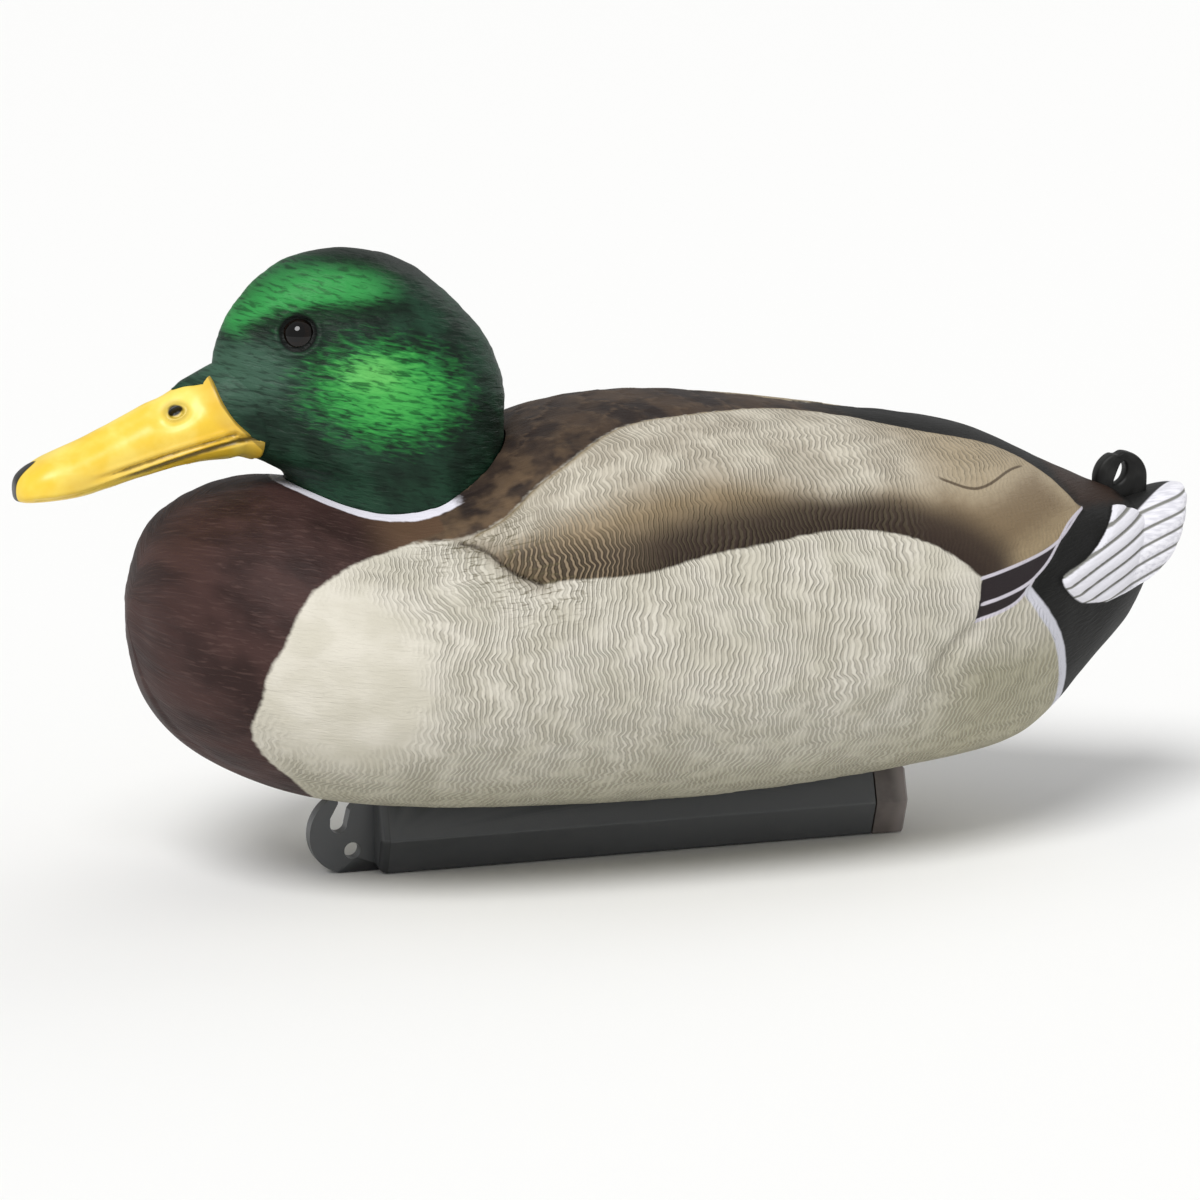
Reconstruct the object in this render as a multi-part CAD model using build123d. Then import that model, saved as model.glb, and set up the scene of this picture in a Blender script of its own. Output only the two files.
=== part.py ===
from build123d import *
import math
import os

# Floating drake mallard decoy, in millimetres. +Z is up and the bill points to -X, so the duck's left side
# is -Y. The origin is on the ground, under the middle of the bounding box. The hollow body carries a weighted
# keel under its belly, and a round socket in its breast where the separate head turns on a snap-in post.

# ---------------------------------------------------------------- driving dimensions
WALL = 2.4

# One row per station of the body: x, top, bottom, half width, height of the widest point.
BODY_STATIONS = [
    (-166.8, 96, 84, 7, 90),
    (-165.0, 104, 73, 20, 89),
    (-160.0, 116, 60, 35, 88),
    (-150.0, 126, 48, 51, 87),
    (-134.0, 132.5, 38, 64, 85),
    (-115.0, 134, 30.5, 73, 83),
    (-93.0, 131, 26, 79.2, 81),
    (-70.0, 134, 23.5, 81.7, 80),
    (-40.0, 148, 21.5, 83.2, 80),
    (-8.0, 156, 20.5, 83.7, 80),
    (30.0, 155, 20.5, 83.2, 80),
    (66.0, 150, 22.5, 80.2, 82),
    (100.0, 145, 25, 73.2, 84),
    (125.0, 140, 27.5, 62.8, 86),
    (145.0, 131, 34, 50, 88),
    (160.0, 124, 47, 39, 90),
    (174.0, 118, 59.5, 29, 92),
    (184.0, 113, 68, 20, 94),
    (191.0, 107, 77.5, 12, 95),
    (194.0, 101, 86, 5, 95),
]
BODY_ROUNDNESS = 2.15
BODY_MIDDLE_X = 13.6
BODY_HALF_LENGTH = 180.4

# The head turns about an upright axis through the middle of its round neck.
NECK_X = -77.0
NECK_RADIUS = 36.0
SOCKET_CLEARANCE = 0.6
SOCKET_FLOOR_Z = 102.5
SOCKET_FLOOR = 3.0
HEAD_FLOOR_Z = 104.6
HEAD_FLOOR = 3.0

# One row per level of the head: z, front x, back x, half width, x of the widest place, roundness of the face.
HEAD_LEVELS = [
    (131.0, -113, -41, 36, -77, 2.0),
    (135.5, -114.5, -41, 36, -77, 2.0),
    (140.0, -122, -41, 35.7, -76.5, 1.92),
    (145.0, -130.5, -41, 35.2, -75.5, 1.82),
    (151.0, -135.5, -41, 34.4, -74.5, 1.78),
    (160.0, -137.5, -40.8, 33, -73, 1.75),
    (169.0, -138, -42.5, 31, -73, 1.75),
    (178.0, -136.5, -46.5, 28.4, -75, 1.8),
    (188.0, -132, -54.5, 24.8, -80, 1.85),
    (197.0, -125, -64, 20, -86, 1.9),
    (203.5, -116.5, -73.5, 14.5, -91, 1.95),
    (207.0, -108, -83, 9, -94, 2.0),
    (208.6, -98, -92, 2.5, -95, 2.0),
]

# One row per station of the bill: x, top, bottom, half width, height of the widest point.
BILL_STATIONS = [
    (-125.0, 175, 141.5, 18.5, 151),
    (-132.0, 174, 141.5, 17, 150),
    (-144.0, 168.5, 140.5, 14.2, 148),
    (-156.0, 162.5, 138, 12.4, 144.5),
    (-170.0, 155.5, 134.5, 12.2, 140),
    (-184.0, 149, 131.5, 12.8, 136.5),
    (-195.0, 144.5, 130.5, 11.8, 135),
    (-201.0, 140.5, 130.5, 8.2, 134.5),
    (-203.6, 137, 132, 3.2, 134.5),
]
NECK_TOP_Z = HEAD_LEVELS[0][0]
NECK_LAP = 3.0
NECK_WALL = 2.8
BILL_ROUNDNESS = 2.3
BILL_REAR_AXIS = (-116.0, 171.0)
BILL_REAR_RADIUS = 24.0

EYE_CENTRE = (-112.0, 14.6, 182.5)
EYE_RADIUS = 6.2
EYE_FACING = (-0.5, 0.8, 0.33)
EYE_BACK = 2.2

GROMMET_BORE_RADIUS = 9.1
GROMMET_SEAT_RADIUS = 11.5
GROMMET_FLANGE_RADIUS = 15.0
GROMMET_FLANGE = 1.5

POST_RADIUS = 9.02
POST_BORE_RADIUS = 6.4
POST_BARB_RADIUS = 10.6
POST_BARB_GAP = 0.4
POST_BARB = 3.0
POST_BOTTOM_Z = 87.0
POST_WEB = 3.2
POST_SLOT = 2.2
HEAD_BOSS_RADIUS = 7.0
HEAD_BOSS = 16.0

KEEL_FRONT_X = -86.0
KEEL_REAR_X = 89.0
KEEL_FOOT_HALF = 9.0
KEEL_RIDGE_HALF = 13.5
KEEL_RIDGE_Z = 12.0
KEEL_TOP_HALF = 7.5
KEEL_TOP_Z = 30.0
KEEL_EDGE_RADIUS = 1.4
KEEL_FRONT_RADIUS = 3.0
KEEL_CAVITY_HALVES = (7.3, 11.0, 9.0)
KEEL_CAVITY_TOP_Z = 18.0
KEEL_CAVITY_REAR_X = 74.0
FILL_GAP = 0.2
HOOK_THICKNESS = 5.0
LINE_HOLE = (-93.4, 7.2)
LINE_HOLE_RADIUS = 2.8

CAP_GAP = 0.6
CAP_LENGTH = 11.5
CAP_TOP_Z = 23.2
CAP_EDGE_CHAMFER = 0.9
CAP_AXIS_Z = 12.0
CAP_BORE_RADIUS = 8.4
CAP_SPIGOT_RADIUS = 7.7
CAP_SPIGOT = 12.5
SEAL_SECTION_RADIUS = 1.0
SEAL_CLEARANCE = 0.05
SEAL_DEPTH = 6.0
GROOVE_WIDTH = 2.2
GROOVE_FLOOR_GAP = 0.05

KEEL_SCREW_X = (-48.0, 58.0)
SCREW_SHANK_RADIUS = 2.1
SCREW_HEAD_RADIUS = 4.2
SCREW_HEAD = 2.6
SCREW_RECESS_RADIUS = 1.3
SCREW_RECESS = 1.4
PILOT_RADIUS = 1.8
CLEAR_HOLE_RADIUS = 2.4
KEEL_SCREW_TIP_Z = 36.0
KEEL_COUNTERBORE_RADIUS = 5.4
KEEL_COUNTERBORE = 6.0
SLEEVE_RADIUS = 7.6
WASHER_RADIUS = 5.0
WASHER = 1.2
BOSS_RADIUS = 5.6
BOSS_TOP_Z = 40.0

PLUG_X = 118.0
PLUG_RADIUS = 4.0
PLUG_HEAD_RADIUS = 6.5
PLUG_HEAD = 2.2
PLUG_SEAT_Z = 29.6
PLUG_STEM = 9.0
PLUG_PAD_RADIUS = 9.5
PLUG_PAD_TOP_Z = 34.0

# One row per station of the tail fan: x, ridge height, height of its two edges, half width.
FAN_STATIONS = [
    (158.0, 106.0, 76.0, 24.0),
    (172.0, 109.0, 80.0, 23.0),
    (186.0, 112.0, 86.5, 21.5),
    (196.0, 114.5, 93.5, 18.5),
    (203.0, 115.5, 103.5, 12.5),
    (206.5, 115.0, 110.0, 6.5),
]
FAN_HOLLOW = 0.35
FAN_EDGE = 2.0

CURL_CENTRE = (183.5, 118.0)
CURL_RADII = (9.6, 9.4)
CURL_HOLE_CENTRE = (182.6, 119.6)
CURL_HOLE_RADII = (1.7, 4.2)
CURL_LEAN_DEG = 24.0
CURL_THICKNESS = 6.0
CURL_ROOT_Z = 104.0


# ---------------------------------------------------------------- helpers
def signed_power(value, exponent):
    return math.copysign(abs(value) ** exponent, value)


def closed_outline(points):
    return Face(Wire(Edge.make_spline([Vector(*p) for p in points], periodic=True)))


def upright_section(x, top, bottom, half, wide, roundness, count=16):
    """A rounded outline across the duck at x, widest at the height wide."""
    points = []
    for i in range(count):
        turn = 2 * math.pi * i / count
        rise = top - wide if math.sin(turn) > 0 else wide - bottom
        across = half * signed_power(math.cos(turn), 2 / roundness)
        up = wide + rise * signed_power(math.sin(turn), 2 / roundness)
        points.append((x, across, up))
    return closed_outline(points)


def level_section(z, front, back, half, widest, roundness, count=20):
    """An egg-shaped outline of the head at height z, with its narrow end at the face."""
    points = []
    for i in range(count):
        turn = 2 * math.pi * i / count
        facing = math.cos(turn) < 0
        reach = widest - front if facing else back - widest
        power = 2 / roundness if facing else 1.0
        along = widest + reach * signed_power(math.cos(turn), power)
        across = half * signed_power(math.sin(turn), power)
        points.append((along, across, z))
    return closed_outline(points)


def upright_cylinder(x, z_low, z_high, radius):
    return Pos(x, 0, (z_low + z_high) / 2) * Cylinder(radius, z_high - z_low)


def crosswise_cylinder(x, z, radius, length):
    return Pos(x, 0, z) * Rot(90, 0, 0) * Cylinder(radius, length)


def lengthwise_cylinder(x_low, x_high, z, radius):
    return Pos((x_low + x_high) / 2, 0, z) * Rot(0, 90, 0) * Cylinder(radius, x_high - x_low)


def block(x_low, x_high, half_width, z_low, z_high):
    size = (x_high - x_low, 2 * half_width, z_high - z_low)
    return Pos((x_low + x_high) / 2, 0, (z_low + z_high) / 2) * Box(*size)


def keel_section(x, foot_half, foot_z, ridge_half, top_half, top_z):
    """The six-sided section of the keel at x, with its ridge at half height."""
    right = [(foot_half, foot_z), (ridge_half, KEEL_RIDGE_Z), (top_half, top_z)]
    left = [(-y, z) for y, z in reversed(right)]
    return Face(Wire.make_polygon([Vector(x, y, z) for y, z in right + left], close=True))


def along_x(face, length):
    return extrude(face, amount=length, dir=(1, 0, 0))


# ---------------------------------------------------------------- body
def body_form(inset=0.0):
    """The body's smooth outer form, or the form that lies inset inside it."""
    rows = BODY_STATIONS[2:-2] if inset else BODY_STATIONS
    shorter = 1 - inset / BODY_HALF_LENGTH
    sections = []
    for x, top, bottom, half, wide in rows:
        place = BODY_MIDDLE_X + (x - BODY_MIDDLE_X) * shorter
        sizes = (top - inset, bottom + inset, half - inset, wide)
        sections.append(upright_section(place, *sizes, BODY_ROUNDNESS))
    return loft(sections)


def fan_section(x, ridge, edge, half):
    """An arched band, thick in its middle: the tail feathers seen from behind."""
    inner_ridge = edge + FAN_HOLLOW * (ridge - edge)
    outer = Edge.make_three_point_arc((x, -half, edge), (x, 0, ridge), (x, half, edge))
    inner_ends = ((x, half - FAN_EDGE, edge), (x, 0, inner_ridge), (x, FAN_EDGE - half, edge))
    inner = Edge.make_three_point_arc(*inner_ends)
    right = Edge.make_line((x, half, edge), inner_ends[0])
    left = Edge.make_line(inner_ends[2], (x, -half, edge))
    return Face(Wire([outer, right, inner, left]))


def tail_curl():
    """The curled centre feathers: an upright rounded tab with a slanting eye through it."""
    x, z = CURL_CENTRE
    plate = Plane.XZ * Pos(x, z) * Ellipse(*CURL_RADII)
    root = Plane.XZ * Pos(x, (z + CURL_ROOT_Z) / 2) * Rectangle(2 * CURL_RADII[0], z - CURL_ROOT_Z)
    eye = Plane.XZ * Pos(*CURL_HOLE_CENTRE) * Rot(0, 0, -CURL_LEAN_DEG) * Ellipse(*CURL_HOLE_RADII)
    return extrude(plate + root - eye, amount=CURL_THICKNESS / 2, both=True)


def body_shell(outer):
    shell = outer - body_form(WALL)
    low = SOCKET_FLOOR_Z - SOCKET_FLOOR
    socket_radius = NECK_RADIUS + SOCKET_CLEARANCE
    shell += upright_cylinder(NECK_X, low, BODY_STATIONS[8][1] + 4, socket_radius + WALL) & outer
    for x in KEEL_SCREW_X:
        shell += upright_cylinder(x, 0, BOSS_TOP_Z, BOSS_RADIUS) & outer
    shell += upright_cylinder(PLUG_X, 0, PLUG_PAD_TOP_Z, PLUG_PAD_RADIUS) & outer
    shell += loft([fan_section(*row) for row in FAN_STATIONS])
    shell += tail_curl()
    shell -= upright_cylinder(NECK_X, SOCKET_FLOOR_Z, 220, socket_radius)
    shell -= upright_cylinder(NECK_X, low - 5, SOCKET_FLOOR_Z + 1, GROMMET_SEAT_RADIUS)
    for x in KEEL_SCREW_X:
        shell -= upright_cylinder(x, 0, KEEL_SCREW_TIP_Z + 1, PILOT_RADIUS)
    shell -= upright_cylinder(PLUG_X, 0, PLUG_SEAT_Z, PLUG_HEAD_RADIUS + 0.3)
    shell -= upright_cylinder(PLUG_X, 0, PLUG_PAD_TOP_Z + 1, PLUG_RADIUS)
    return shell


def neck_grommet():
    """A rubber ring with two flanges that grips the floor of the socket."""
    low = SOCKET_FLOOR_Z - SOCKET_FLOOR
    ring = upright_cylinder(NECK_X, low - GROMMET_FLANGE, SOCKET_FLOOR_Z, GROMMET_SEAT_RADIUS)
    ring += upright_cylinder(NECK_X, low - GROMMET_FLANGE, low, GROMMET_FLANGE_RADIUS)
    top = SOCKET_FLOOR_Z + GROMMET_FLANGE
    ring += upright_cylinder(NECK_X, SOCKET_FLOOR_Z, top, GROMMET_FLANGE_RADIUS)
    return ring - upright_cylinder(NECK_X, low - 5, top + 5, GROMMET_BORE_RADIUS)


def drain_plug():
    stem_top = PLUG_SEAT_Z + PLUG_STEM
    plug = upright_cylinder(PLUG_X, PLUG_SEAT_Z - PLUG_HEAD, PLUG_SEAT_Z, PLUG_HEAD_RADIUS)
    plug += upright_cylinder(PLUG_X, PLUG_SEAT_Z, stem_top, PLUG_RADIUS)
    bead = Pos(PLUG_X, 0, stem_top - 2.5) * Torus(PLUG_RADIUS, 0.8)
    return plug + bead


# ---------------------------------------------------------------- keel
def hook_plate():
    """The flat hook and line eye at the keel's front, in the middle plane."""
    outline = [
        Edge.make_line((-80, 0), (-98, 0)),
        Edge.make_three_point_arc((-98, 0), (-105.4, 4.8), (-108, 13.2)),
        Edge.make_three_point_arc((-108, 13.2), (-106, 20.2), (-101, 25.2)),
        Edge.make_three_point_arc((-101, 25.2), (-98.8, 25.4), (-98.4, 23.2)),
        Edge.make_line((-98.4, 23.2), (-100.9, 18.7)),
        Edge.make_line((-100.9, 18.7), (-101, 16.4)),
        Edge.make_three_point_arc((-101, 16.4), (-98.1, 13.5), (-95.2, 16.4)),
        Edge.make_line((-95.2, 16.4), (-94.1, 21)),
        Edge.make_line((-94.1, 21), (-90, 25.8)),
        Edge.make_line((-90, 25.8), (-80, 25.8)),
        Edge.make_line((-80, 25.8), (-80, 0)),
    ]
    plate = extrude(Plane.XZ * Face(Wire(outline)), amount=HOOK_THICKNESS / 2, both=True)
    return plate - crosswise_cylinder(*LINE_HOLE, LINE_HOLE_RADIUS, 2 * HOOK_THICKNESS)


def keel_cavity(gap=0.0):
    """The room for the ballast, or the fill that lies gap inside it."""
    front = KEEL_FRONT_X + WALL + gap
    foot, ridge, top = (half - gap for half in KEEL_CAVITY_HALVES)
    section = keel_section(front, foot, WALL + gap, ridge, top, KEEL_CAVITY_TOP_Z - gap)
    room = along_x(section, KEEL_CAVITY_REAR_X - gap - front)
    for x in KEEL_SCREW_X:
        room -= upright_cylinder(x, -5, 50, SLEEVE_RADIUS + gap)
    return room


def keel_shell(outer):
    section = keel_section(KEEL_FRONT_X, KEEL_FOOT_HALF, 0, KEEL_RIDGE_HALF, KEEL_TOP_HALF, KEEL_TOP_Z)
    bar = along_x(section, KEEL_REAR_X - KEEL_FRONT_X)
    front_edges = bar.edges().group_by(Axis.X)[0]
    bar = fillet(front_edges, KEEL_FRONT_RADIUS)
    long_edges = [e for e in bar.edges() if e.length > KEEL_REAR_X - KEEL_FRONT_X - 10]
    bar = fillet(long_edges, KEEL_EDGE_RADIUS)
    bar += hook_plate()
    bar -= outer
    bar -= keel_cavity()
    bar -= lengthwise_cylinder(KEEL_CAVITY_REAR_X - 1, KEEL_REAR_X + 1, CAP_AXIS_Z, CAP_BORE_RADIUS)
    for x in KEEL_SCREW_X:
        bar -= upright_cylinder(x, -1, KEEL_COUNTERBORE, KEEL_COUNTERBORE_RADIUS)
        bar -= upright_cylinder(x, -1, KEEL_TOP_Z, CLEAR_HOLE_RADIUS)
    return bar


def keel_screw(x):
    low = KEEL_COUNTERBORE - WASHER - SCREW_HEAD
    screw = upright_cylinder(x, low, low + SCREW_HEAD, SCREW_HEAD_RADIUS)
    screw += upright_cylinder(x, low, KEEL_SCREW_TIP_Z, SCREW_SHANK_RADIUS)
    return screw - upright_cylinder(x, low - 1, low + SCREW_RECESS, SCREW_RECESS_RADIUS)


def keel_washer(x):
    top = KEEL_COUNTERBORE
    ring = upright_cylinder(x, top - WASHER, top, WASHER_RADIUS)
    return ring - upright_cylinder(x, top - 2 * WASHER, top + 1, SCREW_SHANK_RADIUS + 0.1)


def keel_cap():
    """The six-sided cap at the keel's tail, with the round spigot that carries its seal."""
    face_x = KEEL_REAR_X + CAP_GAP
    slope = (KEEL_RIDGE_HALF - KEEL_TOP_HALF) / (KEEL_TOP_Z - KEEL_RIDGE_Z)
    top_half = KEEL_RIDGE_HALF - slope * (CAP_TOP_Z - KEEL_RIDGE_Z)
    section = keel_section(face_x, KEEL_FOOT_HALF, 0, KEEL_RIDGE_HALF, top_half, CAP_TOP_Z)
    cap = along_x(section, CAP_LENGTH)
    cap = chamfer(cap.edges().group_by(Axis.X)[-1], CAP_EDGE_CHAMFER)
    cap += lengthwise_cylinder(face_x - CAP_SPIGOT, face_x + 1, CAP_AXIS_Z, CAP_SPIGOT_RADIUS)
    middle = face_x - SEAL_DEPTH
    floor = CAP_BORE_RADIUS - SEAL_CLEARANCE - 2 * SEAL_SECTION_RADIUS - GROOVE_FLOOR_GAP
    ends = (middle - GROOVE_WIDTH / 2, middle + GROOVE_WIDTH / 2)
    groove = lengthwise_cylinder(*ends, CAP_AXIS_Z, CAP_SPIGOT_RADIUS + 1)
    return cap - (groove - lengthwise_cylinder(*ends, CAP_AXIS_Z, floor))


def cap_seal():
    ring_radius = CAP_BORE_RADIUS - SEAL_CLEARANCE - SEAL_SECTION_RADIUS
    place = Pos(KEEL_REAR_X + CAP_GAP - SEAL_DEPTH, 0, CAP_AXIS_Z)
    return place * Rot(0, 90, 0) * Torus(ring_radius, SEAL_SECTION_RADIUS)


# ---------------------------------------------------------------- head
def head_form(inset=0.0):
    """The head above its neck, or the form inside it: that is lifted at the chin and lowered at the crown."""
    rows = HEAD_LEVELS[:-2] if inset else HEAD_LEVELS
    height = HEAD_LEVELS[-1][0] - NECK_TOP_Z
    sections = []
    if inset:
        _, front, back, half, widest, roundness = rows[0]
        neck = (front + inset, back - inset, half - inset, widest, roundness)
        sections.append(level_section(NECK_TOP_Z - NECK_LAP, *neck))
    for z, front, back, half, widest, roundness in rows:
        level = z + inset * (1 - 2 * (z - NECK_TOP_Z) / height)
        sizes = (front + inset, back - inset, half - inset, widest, roundness)
        sections.append(level_section(level, *sizes))
    return loft(sections)


def neck_tube():
    """The round neck, closed by a floor with a boss for the post's screw."""
    low = HEAD_FLOOR_Z + HEAD_FLOOR
    rim = level_section(*HEAD_LEVELS[0])
    tube = extrude(rim, amount=NECK_TOP_Z - HEAD_FLOOR_Z, dir=(0, 0, -1))
    tube -= upright_cylinder(NECK_X, low, NECK_TOP_Z + 1, NECK_RADIUS - NECK_WALL)
    tube += upright_cylinder(NECK_X, HEAD_FLOOR_Z, low + HEAD_BOSS, HEAD_BOSS_RADIUS)
    return tube - upright_cylinder(NECK_X, HEAD_FLOOR_Z - 1, low + HEAD_BOSS - 3, PILOT_RADIUS)


def bill_form():
    rows = [upright_section(*row, BILL_ROUNDNESS) for row in BILL_STATIONS]
    return loft(rows) - crosswise_cylinder(*BILL_REAR_AXIS, BILL_REAR_RADIUS, 80)


def eye(side):
    """A domed eye. side is 1 on the duck's right and -1 on its left."""
    x, y, z = EYE_CENTRE
    along, across, up = EYE_FACING
    facing = Plane(origin=(x, side * y, z), z_dir=(along, side * across, up))
    reach = EYE_RADIUS + 1 - EYE_BACK
    front = facing * Pos(0, 0, EYE_BACK + reach / 2) * Cylinder(EYE_RADIUS + 1, reach)
    return (Pos(x, side * y, z) * Sphere(EYE_RADIUS)) & front


def head_shell(bill, eyes):
    crown = head_form() - head_form(WALL)
    for solid in (bill, *eyes):
        crown -= solid
    return crown + neck_tube()


def neck_post():
    """The split snap-in post under the head: its barbs catch below the grommet."""
    barb_top = SOCKET_FLOOR_Z - SOCKET_FLOOR - GROMMET_FLANGE - POST_BARB_GAP
    post = upright_cylinder(NECK_X, POST_BOTTOM_Z, HEAD_FLOOR_Z, POST_RADIUS)
    post += upright_cylinder(NECK_X, barb_top - POST_BARB, barb_top, POST_BARB_RADIUS)
    lead = barb_top - POST_BARB - POST_BOTTOM_Z
    taper = Cone(POST_RADIUS - 1, POST_BARB_RADIUS, lead)
    post += Pos(NECK_X, 0, POST_BOTTOM_Z + lead / 2) * taper
    post -= upright_cylinder(NECK_X, POST_BOTTOM_Z - 1, HEAD_FLOOR_Z - POST_WEB, POST_BORE_RADIUS)
    post -= upright_cylinder(NECK_X, POST_BOTTOM_Z, HEAD_FLOOR_Z + 1, CLEAR_HOLE_RADIUS)
    slot_top = SOCKET_FLOOR_Z - SOCKET_FLOOR
    slot = Box(2 * POST_BARB_RADIUS + 2, POST_SLOT, slot_top - POST_BOTTOM_Z + 2)
    for turn in (0, 90):
        post -= Pos(NECK_X, 0, (slot_top + POST_BOTTOM_Z) / 2 - 1) * Rot(0, 0, turn) * slot
    return post


def post_washer():
    top = HEAD_FLOOR_Z - POST_WEB
    ring = upright_cylinder(NECK_X, top - WASHER, top, WASHER_RADIUS)
    return ring - upright_cylinder(NECK_X, top - 2 * WASHER, top + 1, SCREW_SHANK_RADIUS + 0.1)


def post_screw():
    under = HEAD_FLOOR_Z - POST_WEB - WASHER
    tip = HEAD_FLOOR_Z + HEAD_FLOOR + HEAD_BOSS - 4
    screw = upright_cylinder(NECK_X, under - SCREW_HEAD, under, SCREW_HEAD_RADIUS)
    screw += upright_cylinder(NECK_X, under - SCREW_HEAD, tip, SCREW_SHANK_RADIUS)
    low = under - SCREW_HEAD
    return screw - upright_cylinder(NECK_X, low - 1, low + SCREW_RECESS, SCREW_RECESS_RADIUS)


# ---------------------------------------------------------------- assembly
def make_parts():
    outer = body_form()
    eyes = {"eye_left": eye(-1), "eye_right": eye(1)}
    bill = bill_form()
    return {
        "body_shell": body_shell(outer),
        "neck_grommet": neck_grommet(),
        "drain_plug": drain_plug(),
        "keel_shell": keel_shell(outer),
        "keel_ballast": keel_cavity(FILL_GAP),
        "keel_screws": Compound(children=[keel_screw(x) for x in KEEL_SCREW_X]),
        "keel_screw_washers": Compound(children=[keel_washer(x) for x in KEEL_SCREW_X]),
        "keel_cap": keel_cap(),
        "cap_seal": cap_seal(),
        "head_shell": head_shell(bill, eyes.values()),
        "bill": bill,
        **eyes,
        "neck_post": neck_post(),
        "post_washer": post_washer(),
        "post_screw": post_screw(),
    }


os.makedirs("parts", exist_ok=True)
for name, solid in make_parts().items():
    export_step(solid, f"parts/{name}.step")
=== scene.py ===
import math

import bpy
import numpy as np
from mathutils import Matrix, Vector


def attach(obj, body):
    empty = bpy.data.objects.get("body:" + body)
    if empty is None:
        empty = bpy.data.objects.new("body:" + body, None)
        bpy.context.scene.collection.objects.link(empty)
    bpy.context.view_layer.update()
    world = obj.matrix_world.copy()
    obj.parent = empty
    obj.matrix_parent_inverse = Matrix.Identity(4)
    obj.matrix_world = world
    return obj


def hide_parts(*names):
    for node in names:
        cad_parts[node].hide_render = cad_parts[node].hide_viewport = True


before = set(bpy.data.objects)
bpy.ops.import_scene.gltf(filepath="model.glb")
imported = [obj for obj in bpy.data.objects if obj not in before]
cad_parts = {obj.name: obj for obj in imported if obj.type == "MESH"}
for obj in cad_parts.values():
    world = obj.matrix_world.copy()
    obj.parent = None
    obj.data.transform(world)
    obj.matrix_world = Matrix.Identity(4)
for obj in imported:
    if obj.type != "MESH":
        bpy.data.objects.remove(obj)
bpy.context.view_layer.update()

# ---------------------------------------------------------------- body
# The body is one hollow blow-moulded shell of polyethylene, with the feathers in relief from the mould.
# The folded wing stands over the flank, and a round socket in the breast takes the neck. It is then sprayed
# through masks, coat over coat. All sizes are in millimetres until a mesh is made.
MM = 0.001
BODY_STATIONS = [
    (-167.4, 90.5, 89.5, 0.5, 90),
    (-166.8, 96, 84, 7, 90),
    (-165.0, 104, 73, 20, 89),
    (-160.0, 116, 60, 35, 88),
    (-150.0, 126, 48, 51, 87),
    (-134.0, 132.5, 38, 64, 85),
    (-115.0, 134, 30.5, 73, 83),
    (-93.0, 131, 26, 79.2, 81),
    (-70.0, 134, 23.5, 81.7, 80),
    (-40.0, 148, 21.5, 83.2, 80),
    (-8.0, 156, 20.5, 83.7, 80),
    (30.0, 155, 20.5, 83.2, 80),
    (66.0, 150, 22.5, 80.2, 82),
    (100.0, 145, 25, 73.2, 84),
    (125.0, 140, 27.5, 62.8, 86),
    (145.0, 131, 34, 50, 88),
    (160.0, 124, 47, 39, 90),
    (174.0, 118, 59.5, 29, 92),
    (184.0, 113, 68, 20, 94),
    (191.0, 107, 77.5, 12, 95),
    (194.0, 101, 86, 5, 95),
    (194.6, 95.5, 94.5, 0.5, 95),
]
BODY_ROUNDNESS = 2.15
BODY_ROWS, BODY_COLUMNS = 292, 328
NECK_X = -77.0
SOCKET_RADIUS = 36.6
SOCKET_FLOOR_Z = 102.5
PLUG_X = 118.0

# Lines over the body's skin: each point is a place along the duck and a height along the skin from its widest
# line, so a line serves both sides.
BREAST_EDGE = [(-97, 52), (-105, 46), (-114, 37), (-121, 29), (-124, 24), (-128, 15), (-131, 7), (-136, -4),
               (-137, -13), (-139, -22), (-138, -32), (-133, -43), (-124, -56), (-112, -80)]
CREASE = [(-70, 57), (-64, 51), (-58, 40), (-49, 32)]
FLANK_TOP = [(-46, 32), (-29, 30), (-13, 30), (6, 34), (26, 37), (48, 40), (66, 39), (83, 33), (96, 24),
             (103, 17), (103, 11), (102, 5), (100, 2)]
WING_TOP = [(-65, 59), (-54, 63), (-46, 69), (-37, 74), (-27, 80), (-18, 86), (-8, 91), (4, 94), (24, 98),
            (45, 103), (65, 102), (85, 94), (100, 85), (118, 76), (136, 63), (147, 48), (156, 31)]
WHITE_LINES = [
    [(156, 31), (152, 29), (140, 22), (123, 18), (104, 16)],
    [(156, 31), (146, 27), (134, 16), (123, 10), (113, 8), (103, 7)],
    [(126, 11), (118, 5), (109, 3), (100, 2)],
]
TERTIAL_GROOVE = [(94, 58), (101, 53), (107, 50), (118, 52), (127, 56), (135, 58)]
RUMP_BAND = [(123, 7), (130, -1), (137, -9), (142, -19), (146, -32), (149, -50), (150, -64)]
# The lowest tail feathers start on the body's own side, as a raised fan root.
FAN_ROOT = [(172, 27), (167, 20), (160, 14), (150, 10), (139, 7), (144, 0), (151, -4), (165, -8), (184, -8.5),
            (192, -6), (200, -4), (200, 6), (190, 12), (184, 19), (178, 24)]
FEATHER_SLOPE = 0.27
FEATHER_SPACING = 4.8
FEATHER_START_X, FEATHER_START_Z = 158.0, 100.0
FEATHER_GROOVE_WIDTH = 0.75
FAN_ROOT_HEIGHT, FAN_ROOT_GROOVE = 1.1, 0.9
# Sizes of the relief: how far each edge steps out, how deep each groove is, and how big the feathers are.
FLANK_STEP, FLANK_SWELL, FLANK_TROUGH = 0.75, 0.6, 0.9
WING_STEP, MANTLE_TROUGH, TERTIAL_DEPTH, CREASE_DEPTH = 0.6, 0.7, 0.8, 1.3
WHITE_LINE_HEIGHT = 0.35
MANTLE_FEATHER, SMOOTH_FEATHER = (24, 17), (34, 24)
NECK_RING_RADIUS, NECK_RING_END = 41.3, 106
BROWN_LINE = [(-60, 46), (-34, 52), (-6, 58), (10, 60), (30, 59), (52, 51), (79, 53), (96, 47), (115, 39),
              (134, 44), (156, 31)]


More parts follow.
